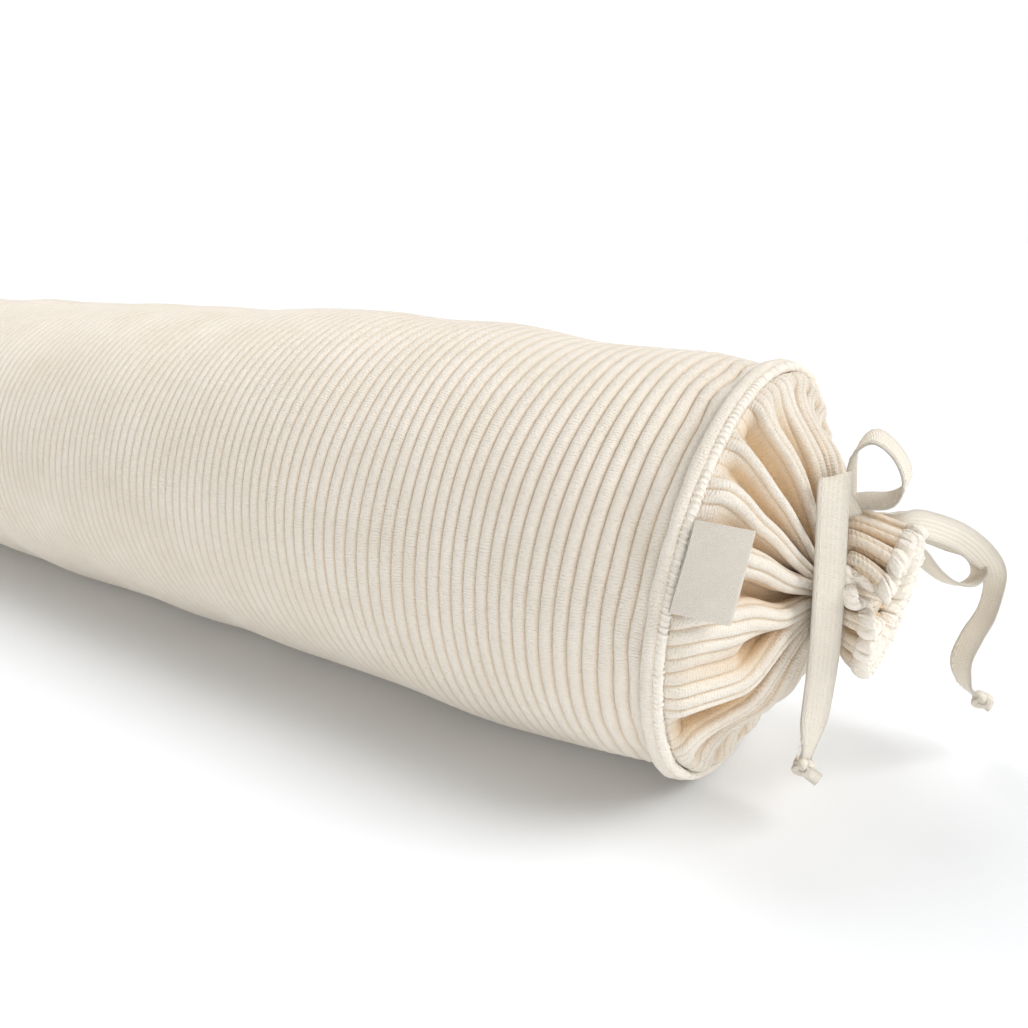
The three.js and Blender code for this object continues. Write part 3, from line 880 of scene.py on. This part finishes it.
# %% The folds: valley at the seam and at the neck, three pulls, and how open
FOLDS = [
    (-173, -173, 1.0, 1.0, 1.0, 0), (-153, -153, 1.3, 1.1, 1.1, 0), (-133, -133, 0.9, 1.0, 1.0, 0),
    (-113, -113, 1.1, 1.0, 1.0, 0), (-93, -96, 0.9, 1.0, 1.0, 0), (-73, -79, 0.6, 0.9, 0.9, 0),
    (-52, -61, 0.4, 0.7, 0.9, 0), (-30, -42, 2.8, 1.35, 1.3, 0.7), (-8.5, -8.5, 0.2, 0.0, 1.4, 0),
    (16, 16, 1.5, 1.1, 0.9, 0), (31.7, 27.3, 0.6, 1.2, 1.2, 0), (43.6, 38, 2.6, 1.3, 1.2, 0.5),
    (57.7, 53.5, 3.4, 1.1, 1.2, 1), (75, 72, 0.3, 0.6, 0.8, 0), (91, 89, 0.5, 0.8, 0.9, 0),
    (106, 106, 1.0, 1.0, 1.0, 0), (120, 120, 1.1, 1.0, 1.0, 0), (136, 136, 1.2, 1.1, 1.1, 0),
    (151, 151, 1.0, 1.0, 1.0, 0), (168, 168, 1.2, 1.0, 1.0, 0),
]
FOLD_STEPS = np.linspace(0, 1, 129)


def fold_table(folds):
    """Each fold's start and span in the cloth, its valleys' places, its pulls and how open it is."""
    seam, neck, *pulls, opens = (np.array(column, float) for column in zip(*folds))
    ends = (seam + np.append(seam[1:], seam[0] + 360)) / 2
    starts = np.append(ends[-1] - 360, ends[:-1])
    return starts / 360, (ends - starts) / 360, (seam / 360, neck / 360), pulls, opens


FOLD_STARTS, FOLD_SPANS, FOLD_VALLEYS, FOLD_PULLS, FOLD_OPENS = fold_table(FOLDS)
print("the end's cloth is", round(CLOTH_ROUND, 4), "m round, in", len(FOLDS), "folds")

# %% One fold's section
SWINGS = np.linspace(0, 2.25, 60)


def running(values):
    """The running sum of a row of values, from 0, by the middle of each step."""
    return np.concatenate([[0], np.cumsum((values[1:] + values[:-1]) / 2)]) / (len(values) - 1)


def fold_slope(swing, narrow):
    """The slope of the cloth across one fold. Narrow makes the valley tight and the ridge wide."""
    phase = FOLD_STEPS - narrow / TURN * np.sin(TURN * FOLD_STEPS)
    return -swing * np.sin(TURN * phase)


def swing_for(share, narrow):
    """The swing with which a fold takes up that share of its cloth's width."""
    shares = [running(np.cos(fold_slope(swing, narrow)))[-1] for swing in SWINGS]
    return np.interp(share, shares[::-1], SWINGS[::-1])


print("a fold drawn in to half its width swings by", round(swing_for(0.5, 0), 3), "radians")

# %% A ring of folds, at one distance from the seam
# Ways from the seam over which the folds pass from one of their table's values to the next.
DRAWN_IN = (0.002, 0.052)
TO_MID_PULL, TO_NECK_PULL = (0.004, 0.028), (0.030, 0.056)
SEAM_NARROW, NECK_NARROW, OPEN_NARROW = 0.75, 0.5, -0.4

# The folds about this angle are the ones that are seen, so they keep to their places the most.
SEEN_MIDDLE, SEEN_WIDTH = 30, 70


def rooms_and_middles(radius, length, gone, frilled):
    """Each fold's share of the ring and its middle, and how narrow its valley is."""
    drawn = smoothstep(gone, *DRAWN_IN)
    pulls = blend(FOLD_PULLS[0], FOLD_PULLS[1], smoothstep(gone, *TO_MID_PULL))
    pulls = blend(blend(pulls, FOLD_PULLS[2], smoothstep(gone, *TO_NECK_PULL)), 1, frilled)
    narrows = blend(blend(SEAM_NARROW, NECK_NARROW, drawn), OPEN_NARROW, FOLD_OPENS * (1 - frilled))
    shares = min(1, TURN * radius / length) ** pulls
    rooms = FOLD_SPANS * shares / np.sum(FOLD_SPANS * shares)
    middles = np.cumsum(rooms) - rooms / 2
    seen = bell(FOLD_VALLEYS[1] - SEEN_MIDDLE / 360, SEEN_WIDTH / 360)
    middles += np.average(blend(*FOLD_VALLEYS, drawn) - middles, weights=seen)
    return rooms, middles, narrows


def folded_ring(cloth, radius, length, gone, frilled):
    """One ring of folded cloth: each column's turn, depth and slope, and its turn as if unfolded.

    Gone is the way from the seam, and frilled is 0 up to the neck and 1 in the frill.
    """
    rooms, middles, narrows = rooms_and_middles(radius, length, gone, frilled)
    cloth = (cloth - FOLD_STARTS[0]) % 1 + FOLD_STARTS[0]
    fold = np.searchsorted(FOLD_STARTS, cloth, side="right") - 1
    phase = (cloth - FOLD_STARTS[fold]) / FOLD_SPANS[fold]
    turn, depth, slope = np.zeros_like(cloth), np.zeros_like(cloth), np.zeros_like(cloth)
    steady = middles[fold] + rooms[fold] * (phase - 0.5)
    for number, span in enumerate(FOLD_SPANS):
        here = fold == number
        share = min(1, rooms[number] * TURN * radius / (span * length))
        curve = fold_slope(swing_for(share, narrows[number]), narrows[number])
        across, down = running(np.cos(curve)), running(np.sin(curve))
        reach = np.interp(phase[here], FOLD_STEPS, across / across[-1])
        turn[here] = middles[number] + rooms[number] * (reach - 0.5)
        depth[here] = span * length * np.interp(phase[here], FOLD_STEPS, down)
        slope[here] = np.interp(phase[here], FOLD_STEPS, curve)
    return turn, depth, slope, steady


# %% The cloth of one ring, with its ribs and the hollows of a slack filling
CLOTH_THICKNESS = 0.0016
END_RIB_SHARE = 0.85

# The ribs and the folds grow from nothing at the seam over these ways.
END_RIB_START, FOLDS_START = 0.004, 0.009

# Where the folds turn into the frill's, past the neck.
FRILLED = (0.002, 0.008)

# Where the filling is slack: angle and width in degrees, depth, way from the seam, reach along it.
HOLLOWS = [(122, 42, 0.0072, 0.018, 0.014), (-80, 45, 0.0075, 0.020, 0.015)]
HOLLOW_START = (0.001, 0.011)


def past_neck(gone, low, high):
    """0 up to a little past the neck, and 1 from a little further on."""
    return smoothstep(gone, NECK_GONE + low, NECK_GONE + high)


def end_ring(out, radius, normal_out, normal_r, gone, columns, below):
    """One ring of the gathered end: out, radius, angle, angle as if unfolded, and depth."""
    cloth = columns / END_COLUMNS - 0.5
    eased = smoothstep(gone, 0.0, FOLDS_START)
    length = blend(min(CLOTH_ROUND, TURN * radius), CLOTH_ROUND, eased)
    turn, depth, slope, steady = folded_ring(cloth, radius, length, gone, past_neck(gone, *FRILLED))
    rib_height = END_RIB_SHARE * RIB_HEIGHT
    rib = -rib_height * rib_dip(columns / PER_RIB) * smoothstep(gone, 0, END_RIB_START)
    lift = rib - below
    stand = depth + np.cos(slope) * lift
    angle = turn * TURN - np.sin(slope) * lift / max(radius, NECK_RADIUS)
    hollow = 0
    for at, wide, deepest, from_seam, reach in HOLLOWS:
        around = bell(angle_off(angle, math.radians(at)), math.radians(wide))
        nearby = bell(gone - from_seam, reach)
        hollow = hollow + deepest * around * nearby * smoothstep(gone, *HOLLOW_START)
    stand = stand - hollow
    return out + normal_out * stand, radius + normal_r * stand, angle, steady * TURN, -depth


# %% [markdown]
# ### The frill
#
# Past the neck the folds open into a short frill. It is not a plain trumpet: it is slit in front down
# to the tape, the flap above the slit droops, the top lies back toward the neck, and the lower part
# is drawn in near the neck, so that it opens as a cone. Each of these is a table, a bell or a smooth
# step round the rim. The slit and the flap go by the angle that a column of the cloth would have
# without its folds, so that the cloth does not tear at a fold.

# %% Slit, droop and lean of the frill
RIM_OUT = 0.0505
FRILL_RADIUS = 0.0268
LEAST_RADIUS = 0.002

# The slit: the share of the frill's length that is left, at angles in degrees from the front.
SLIT_ANGLES = (-6, 0, 10, 20, 30, 37, 42.5, 44)
SLIT_SHARES = (1, 0.96, 0.68, 0.38, 0.14, 0.08, 0.9, 1)

# The flap above the slit, the dent behind, the collar that leans back, and the cone below.
FLAP_LOW, FLAP_FROM, FLAP_TO = math.radians(23), math.radians(46), math.radians(95)
FLAP_DROOP, FLAP_SHARES = math.radians(24), (0.3, 1)
DENT_AT, DENT_WIDTH, DENT_DEPTH = math.radians(132), math.radians(18), 0.0045
DENT_START = (0.0365, 0.042)
COLLAR_AT, COLLAR_WIDTH = math.radians(88), math.radians(34)
COLLAR_BACK, COLLAR_HIGH = 0.0082, 0.0040
COLLAR_START, COLLAR_END = (0.001, 0.007), (0.038, 0.049)
CONE_DEPTH, CONE_HEIGHTS, CONE_START = 0.0048, (0.1, 0.8), (0.001, 0.006)


def frill_shape(out, radius, angle, steady, gone):
    """The frill is slit in front, its upper flap droops, it leans back on top and flares below."""
    past = np.maximum(0, out - NECK_END)
    share = np.interp(np.degrees(angle_off(steady, 0)), SLIT_ANGLES, SLIT_SHARES)
    flap = (steady > FLAP_LOW) * (1 - smoothstep(steady, FLAP_FROM, FLAP_TO))
    droop = FLAP_DROOP * flap * (past / (RIM_OUT - NECK_END)) ** 2 * smoothstep(share, *FLAP_SHARES)
    behind = bell(angle_off(angle, DENT_AT), DENT_WIDTH) * np.minimum(1, radius / FRILL_RADIUS)
    dent = smoothstep(out, *DENT_START) * DENT_DEPTH * behind
    collar = bell(angle_off(angle, COLLAR_AT), COLLAR_WIDTH) * (1 - smoothstep(out, *COLLAR_END))
    collar = collar * past_neck(gone, *COLLAR_START)
    low = 1 - smoothstep(np.sin(angle), *CONE_HEIGHTS)
    cone = low * (1 - smoothstep(out, NECK_END, RIM_OUT)) * past_neck(gone, *CONE_START)
    radius = radius + COLLAR_HIGH * collar - dent - CONE_DEPTH * cone
    out = np.minimum(out, NECK_END) + past * share - COLLAR_BACK * collar
    return out, np.maximum(radius, LEAST_RADIUS), angle - droop


# %% Shape the gathered end, and keep its rim for the edging
# Painted shade: a fold valley this deep gets the full shade colour, the inside of the frill and the
# mouth get an even painted shade, and the frill past the neck a light one that grows in over this way.
FULL_SHADE_DEPTH = 0.007
INSIDE_SHADE, FRILL_SHADE, FRILL_SHADE_WITHIN = 0.3, 0.22, 0.004

# The cloth that closes the mouth inside: share of the radius, and how far past the neck.
PLUG = [(0.85, 0.0025), (0.65, 0.0065), (0.4, 0.0090), (0.02, 0.0100)]


def gathered_end():
    """The end's cloth, and three rings of points at its rim: a little back, the rim and inside."""
    outs, radii, normal_outs, normal_rs, gones = END_ROWS
    outside = [(i, 0.0) for i in range(len(outs))]
    inside = [(i, CLOTH_THICKNESS) for i in range(len(outs) - 1, -1, -1) if outs[i] > NECK_END]
    rows = outside + inside
    size = (CLOTH_ROUND, len(rows) * PROFILE_SPACING)
    piece, columns, row = cloth_grid("gathered_cover", END_COLUMNS, len(rows) + len(PLUG) - 1, size)
    points, deep = np.zeros((len(columns), 3)), np.zeros(len(columns))
    rings = []
    for number in range(len(rows) + len(PLUG)):
        here = row == number
        i, below = rows[min(number, len(rows) - 1)]
        column = columns[here] % END_COLUMNS
        *ring, depth = end_ring(outs[i], radii[i], normal_outs[i], normal_rs[i], gones[i], column, below)
        out, radius, angle = frill_shape(*ring, gones[i])
        if number >= len(rows):
            share, reach = PLUG[number - len(rows)]
            radius, out = radius * share, np.full_like(radius, NECK_END + reach)
        # Painted shade: darker with a fold's depth outside, even on the inside, and a light tint on the
        # frill.
        shade = FRILL_SHADE * past_neck(gones[i], 0, FRILL_SHADE_WITHIN)
        deep[here] = INSIDE_SHADE if number >= len(outside) else depth / FULL_SHADE_DEPTH + shade
        points[here] = place(HALF + out, radius, angle)
        rings.append(points[here][np.argsort(columns[here])])
    move_points(piece, points)
    # The dip share is also the velour's painted shade in the dips between the ribs.
    paint(piece, "dip", rib_dip(columns / PER_RIB))
    paint(piece, "deep", deep)
    close_up(piece)
    last = len(outside) - 1
    return piece, [rings[last - 2], rings[last], rings[last + 1]]


end, rim_rings = gathered_end()
finish_piece(end, RIBBED_VELOUR, "ribbed_velour", "gathered_end")

# %% [markdown]
# ## Overlocked edges
#
# An overlock stitch wraps thread round the raw edge of cloth, so that the edge becomes a soft band
# with a close row of small loops. A twisted rope would be the quick way, but it looks hard. Here the
# band is a closed tube of cloth with a slightly uneven section, and the thread is one line that winds
# round it, half sunk in it. The frill's rim and both seams are edged by this one function.

# %% A line that winds round another line
THREAD_SEED = 11
OVERLOCK_THREAD = 0.0005
LOOP_POINTS = 12
LOOP_UNEVEN = 0.12
LOOP_SWAY, LOOPS_PER_SWAY = 0.6, 7


def thread_along(name, points):
    """A closed thread through the points: a curve with a round section, made into a mesh."""
    curve = bpy.data.curves.new(name, "CURVE")
    curve.dimensions = "3D"
    curve.bevel_depth = OVERLOCK_THREAD
    curve.bevel_resolution = 1
    spline = curve.splines.new("POLY")
    spline.points.add(len(points) - 1)
    spline.points.foreach_set("co", np.hstack([points, np.ones((len(points), 1))]).ravel())
    spline.use_cyclic_u = True
    piece = bpy.data.objects.new(name, curve)
    bpy.context.scene.collection.objects.link(piece)
    select_only(piece)
    bpy.ops.object.convert(target="MESH")
    bpy.ops.object.shade_smooth()
    return bpy.context.object


def way_gone(points):
    """How far along a line each of its points is."""
    return np.concatenate([[0], np.cumsum(np.linalg.norm(np.diff(points, axis=0), axis=1))])


def looped(centres, first, second, loops):
    """A closed line wound round the line of centres, in loops with the half-axes first and second."""
    gone = way_gone(centres)
    share = np.linspace(0, 1, loops * LOOP_POINTS, endpoint=False)
    at = [
        np.stack([np.interp(share * gone[-1], gone, column) for column in axis.T], axis=-1)
        for axis in (centres, first, second)
    ]
    sizes = np.random.default_rng(THREAD_SEED).uniform(-1, 1, loops + 1)
    big = 1 + LOOP_UNEVEN * np.interp(share * loops, np.arange(loops + 1), sizes)
    sway = LOOP_SWAY * LOOP_UNEVEN * np.sin(TURN * share * loops / LOOPS_PER_SWAY)
    turn = TURN * loops * share + sway
    return at[0] + (at[1] * np.cos(turn)[:, None] + at[2] * np.sin(turn)[:, None]) * big[:, None]


# %% A soft band wound with thread
BAND_SECTION = 12
BAND_HALF = 0.0016
BAND_FULL = 1.1

# The band's lumps: the size of each wave, and its length in loops of thread.
BAND_LUMPS = [(0.06, 3.3), (0.05, 7.1)]


def overlocked(name, centres, first, second, pitch):
    """A soft band along a closed line, wound with a thick thread that is half sunk in it."""
    steps = len(centres) - 1
    gone = way_gone(centres)
    band, section, row = cloth_grid(name, BAND_SECTION, steps, (TURN * BAND_HALF, gone[-1]))
    turn, row = TURN * section / BAND_SECTION, row % steps
    lump = BAND_FULL
    for size, loops in BAND_LUMPS:
        lump = lump + size * np.sin(TURN * gone[row] / pitch / loops)
    wide, high = (np.cos(turn) * lump)[:, None], (np.sin(turn) * lump)[:, None]
    move_points(band, centres[row] + first[row] * wide + second[row] * high)
    close_up(band)
    line = looped(centres, first, second, round(gone[-1] / pitch))
    wound = thread_along(name + "_loops", line)
    select_only(band)
    wound.select_set(True)
    bpy.ops.object.join()
    return band


# %% The edging of the frill's rim
EDGING_BACK, EDGING_OUT = 0.0029, 0.0016
EDGING_SET_BACK = 0.6
EDGING_PITCH = 0.0021


def unit_rows(vectors):
    """Each row as a direction of length 1."""
    return vectors / np.maximum(np.linalg.norm(vectors, axis=1, keepdims=True), 1e-9)


def rim_edging(back, rim, inner):
    """The band over the raw edge, from the rings of points a little back, at the rim and inside."""
    ahead, outward = unit_rows(rim - back), unit_rows(rim - inner)
    middle = (rim + inner) / 2 - ahead * EDGING_BACK * EDGING_SET_BACK
    return overlocked("frill_edging", middle, ahead * EDGING_BACK, outward * EDGING_OUT, EDGING_PITCH)


finish_piece(rim_edging(*rim_rings), SEAM_THREAD, "seam_thread")

# %% [markdown]
# ## The seams
#
# Where two panels of a soft cushion meet, the cloth's edges are turned together into a soft roll, and
# the overlock thread that holds them shows as a row of small loops beside it. The roll is a tube of
# the same cloth bent round the seam, and the loops are made as on the frill's rim. Both are functions
# that are used at both ends.

# %% The roll of turned-in cloth
SEAM_STEPS = 360
ROLL_SECTION = 14
ROLL_BACK, ROLL_RADIUS, ROLL_HALF = 0.0026, 0.0775, 0.0023
ROLL_LUMPS, ROLL_WAVES = 0.07, 0.05


def seam_roll(name, side):
    """A tube of cloth bent round the seam, a little lumpy. Side is 1 at the tied end."""
    size = (TURN * ROLL_HALF, TURN * ROLL_RADIUS)
    piece, section, row = cloth_grid(name, ROLL_SECTION, SEAM_STEPS, size)
    angle = BOTTOM + TURN * (row % SEAM_STEPS) / SEAM_STEPS
    turn = TURN * (section % ROLL_SECTION) / ROLL_SECTION
    lumps, waves = uneven(0 * angle, angle, 8, 1, 40), uneven(0 * angle, angle, 9, 1, 12)
    fat = 1 + ROLL_LUMPS * lumps + ROLL_WAVES * waves
    along = HALF - ROLL_BACK + ROLL_HALF * fat * np.cos(turn)
    radius = ROLL_RADIUS + ROLL_HALF * fat * np.sin(turn)
    move_points(piece, place(side * along, radius, angle))
    paint(piece, "dip", np.zeros(len(angle)))
    close_up(piece)
    return piece


# %% The loops beside the roll
LOOPS_OUT, LOOPS_RADIUS = 0.0006, 0.0768
LOOPS_HALF_WIDE, LOOPS_HALF_HIGH = 0.0015, 0.0013
LOOPS_PITCH = 0.0020


def seam_loops(name, side):
    """The overlock thread round the seam, just outside the roll."""
    angle = np.linspace(0, TURN, SEAM_STEPS + 1) + BOTTOM
    spot = place(side * (HALF + LOOPS_OUT), LOOPS_RADIUS, angle)
    up = place(side * (HALF + LOOPS_OUT), LOOPS_RADIUS + LOOPS_HALF_HIGH, angle) - spot
    wide = np.array([[LOOPS_HALF_WIDE, 0, 0]]) + 0 * spot
    return overlocked(name, spot, wide, unit_rows(up) * LOOPS_HALF_HIGH, LOOPS_PITCH)


# %% Both seams
for side, roll_name, loops_name, node in (
    (1, "tied_seam_roll", "tied_seam_loops", "seam_ridge_tied"),
    (-1, "far_seam_roll", "far_seam_loops", "seam_ridge_far"),
):
    finish_piece(seam_roll(roll_name, side), RIBBED_VELOUR, "ribbed_velour", node)
    finish_piece(seam_loops(loops_name, side), SEAM_THREAD, "seam_thread")

# %% [markdown]
# ## The far end
#
# The far end is a plain round panel. It is cut from the same cloth, so its ribs are straight and run
# upright across it. The filling pushes it out a little, most in the middle.

# %% The far panel
FAR_RADIUS = 0.0752
FAR_RIBS = 29
FAR_ROWS = 64
FAR_BULGE, FAR_FULLNESS = 0.0122, 0.98
FAR_RIB_START = 0.08
FAR_SLACK = 0.0007


def far_panel():
    """A round of ribbed cloth: the flat grid's columns are ribs, squeezed in toward the rim."""
    per_rib = len(RIB_ROWS)
    size = (2 * FAR_RADIUS, 2 * FAR_RADIUS)
    piece, column, row = cloth_grid("far_cover", FAR_RIBS * per_rib, FAR_ROWS, size)
    phase = column // per_rib + RIB_ROWS[column % per_rib] + 0.5
    dip = rib_dip(phase - 0.5)
    across = np.clip(phase / FAR_RIBS * 2 - 1, -1, 1)
    up = (row / FAR_ROWS * 2 - 1) * np.sqrt(1 - across**2)
    from_middle = np.clip(np.hypot(across, up), 0, 1)
    bulge = FAR_BULGE * np.sqrt(1 - FAR_FULLNESS * from_middle**3)
    bulge -= RIB_HEIGHT * dip * smoothstep(1 - from_middle, 0, FAR_RIB_START)
    bulge += FAR_SLACK * uneven(up * FAR_RADIUS, across * 2, 12, 0.06, 3) * (1 - from_middle)
    move_points(piece, place(-HALF - bulge, FAR_RADIUS * from_middle, np.arctan2(up, across)))
    # The dip share is also the velour's painted shade in the dips between the ribs.
    paint(piece, "dip", dip)
    close_up(piece)
    return piece


far = far_panel()
finish_piece(far, RIBBED_VELOUR, "ribbed_velour", "far_panel")

# %% [markdown]
# ## The label
#
# The label is a strip of woven cotton ribbon, folded double with both its ends caught in the seam. It
# is a sheet: the ribbon is made flat, then bent along a line that goes out, round the fold and back.
# It stands a little off the pleats and curls a little, as a ribbon does that only its ends hold.

# %% The label's sheet: its upper edge and its lower edge, each from the seam out to the fold
LABEL_TOP = np.array([(0.4250, -0.0702, 0.1133), (0.4386, -0.0572, 0.1091)])
LABEL_LOW = np.array([(0.4237, -0.0809, 0.0879), (0.4376, -0.0694, 0.0834)])
LABEL_SIZE = (0.028, 0.042)
LABEL_GAP, LABEL_LAYER = 0.0010, 0.00045
LABEL_ACROSS, LABEL_ALONG = 24, 48
FOLD_FROM, FOLD_REACH = 0.95, 0.05
CURL_OUT, CURL_EDGES, CURL_SWAY = 0.0009, 0.0010, 0.0004
SWAY_DOWN, SWAY_OUT = 5, 3
LABEL_SHARP = math.radians(50)


def label():
    """The ribbon out from the seam, round its fold and back, with the two layers a little apart."""
    piece, column, row = cloth_grid("label_sheet", LABEL_ACROSS, LABEL_ALONG, LABEL_SIZE)
    down, share = column / LABEL_ACROSS, row / LABEL_ALONG
    back = share > 0.5
    out = 1 - np.abs(2 * share - 1)
    at_seam, at_fold = (blend(LABEL_TOP[i], LABEL_LOW[i], down[:, None]) for i in (0, 1))
    middle = blend(at_seam, at_fold, out[:, None])
    normal = np.cross(LABEL_TOP[1] - LABEL_TOP[0], LABEL_LOW[0] - LABEL_TOP[0])
    normal /= np.linalg.norm(normal)
    round_fold = np.sqrt(1 - np.clip((out - FOLD_FROM) / FOLD_REACH, 0, 1) ** 2)
    curl = CURL_OUT * np.sin(math.pi * out) - CURL_EDGES * (2 * down - 1) ** 2 * out
    curl = curl + CURL_SWAY * np.sin(SWAY_DOWN * down + SWAY_OUT * out)
    lift = curl + np.where(back, -1, 1) * LABEL_GAP / 2 * round_fold
    move_points(piece, middle - normal * lift[:, None])
    select_only(piece)
    solid = piece.modifiers.new("cloth", "SOLIDIFY")
    solid.thickness, solid.offset = LABEL_LAYER, 0
    bpy.ops.object.modifier_apply(modifier=solid.name)
    bpy.ops.object.shade_smooth_by_angle(angle=LABEL_SHARP)
    return piece


tag = label()
finish_piece(tag, LABEL_COTTON, "label_cotton", "label_tab")

# %% [markdown]
# ## Light
#
# The cushion lies in a white studio, in soft light. The strongest comes from high up beyond the
# tied end and leaves the shadow on the floor in front. A second from above the far end fills the
# hollows between the folds, and a third from low in front opens up the cloth's near side. A lamp
# with a small reach would leave a bright spot on the floor, so all three are suns, which light
# evenly, with a wide disc, which softens their shadows. The world is white where it is seen, and
# dimmer as a light.

# %% The floor
FLOOR_SIZE = 60
FLOOR_DROP = -0.0003
FLOOR_COLOUR = (0.96, 0.98, 1.0, 1)
bpy.ops.object.select_all(action="DESELECT")
bpy.ops.mesh.primitive_plane_add(size=FLOOR_SIZE, location=(0, 0, FLOOR_DROP))
floor = bpy.context.object
floor.name = floor.data.name = "floor"
floor_material, floor_shader = new_material("floor", 0.9, 0)
floor_shader.inputs["Base Color"].default_value = FLOOR_COLOUR
floor.data.materials.append(floor_material)
print("the floor is", FLOOR_SIZE, "m wide")

# %% The world
WORLD_LIGHT = 0.21
WORLD_SEEN = 1.0
world = bpy.data.worlds.new("studio")
bpy.context.scene.world = world
world.use_nodes = True
sky = Wiring(world)
background = world.node_tree.nodes["Background"]
background.inputs["Color"].default_value = (1, 1, 1, 1)
strength = sky.add("ShaderNodeMapRange")
strength.inputs["To Min"].default_value = WORLD_LIGHT
strength.inputs["To Max"].default_value = WORLD_SEEN
sky.join(sky.add("ShaderNodeLightPath").outputs["Is Camera Ray"], strength.inputs["Value"])
sky.join(strength.outputs["Result"], background.inputs["Strength"])
print("the world gives", WORLD_LIGHT, "of the light that it shows")

# %% The suns: name, strength, width of the disc in degrees, and direction
SUNS = [
    ("key", 2.42, 42, (0.92, 0.38, 1.0)),
    ("back", 1.16, 42, (-0.7, 0.1, 1.0)),
    ("fill", 1.5, 44, (0.5, -1.0, 0.1)),
]
for name, energy, disc, direction in SUNS:
    bpy.ops.object.light_add(type="SUN", location=(0, 0, 2))
    light = bpy.context.object
    light.name = name
    light.data.energy = energy
    light.data.angle = math.radians(disc)
    light.rotation_euler = Vector(direction).to_track_quat("Z", "Y").to_euler()
bpy.context.scene.view_settings.view_transform = "Standard"
print(len(SUNS), "suns")
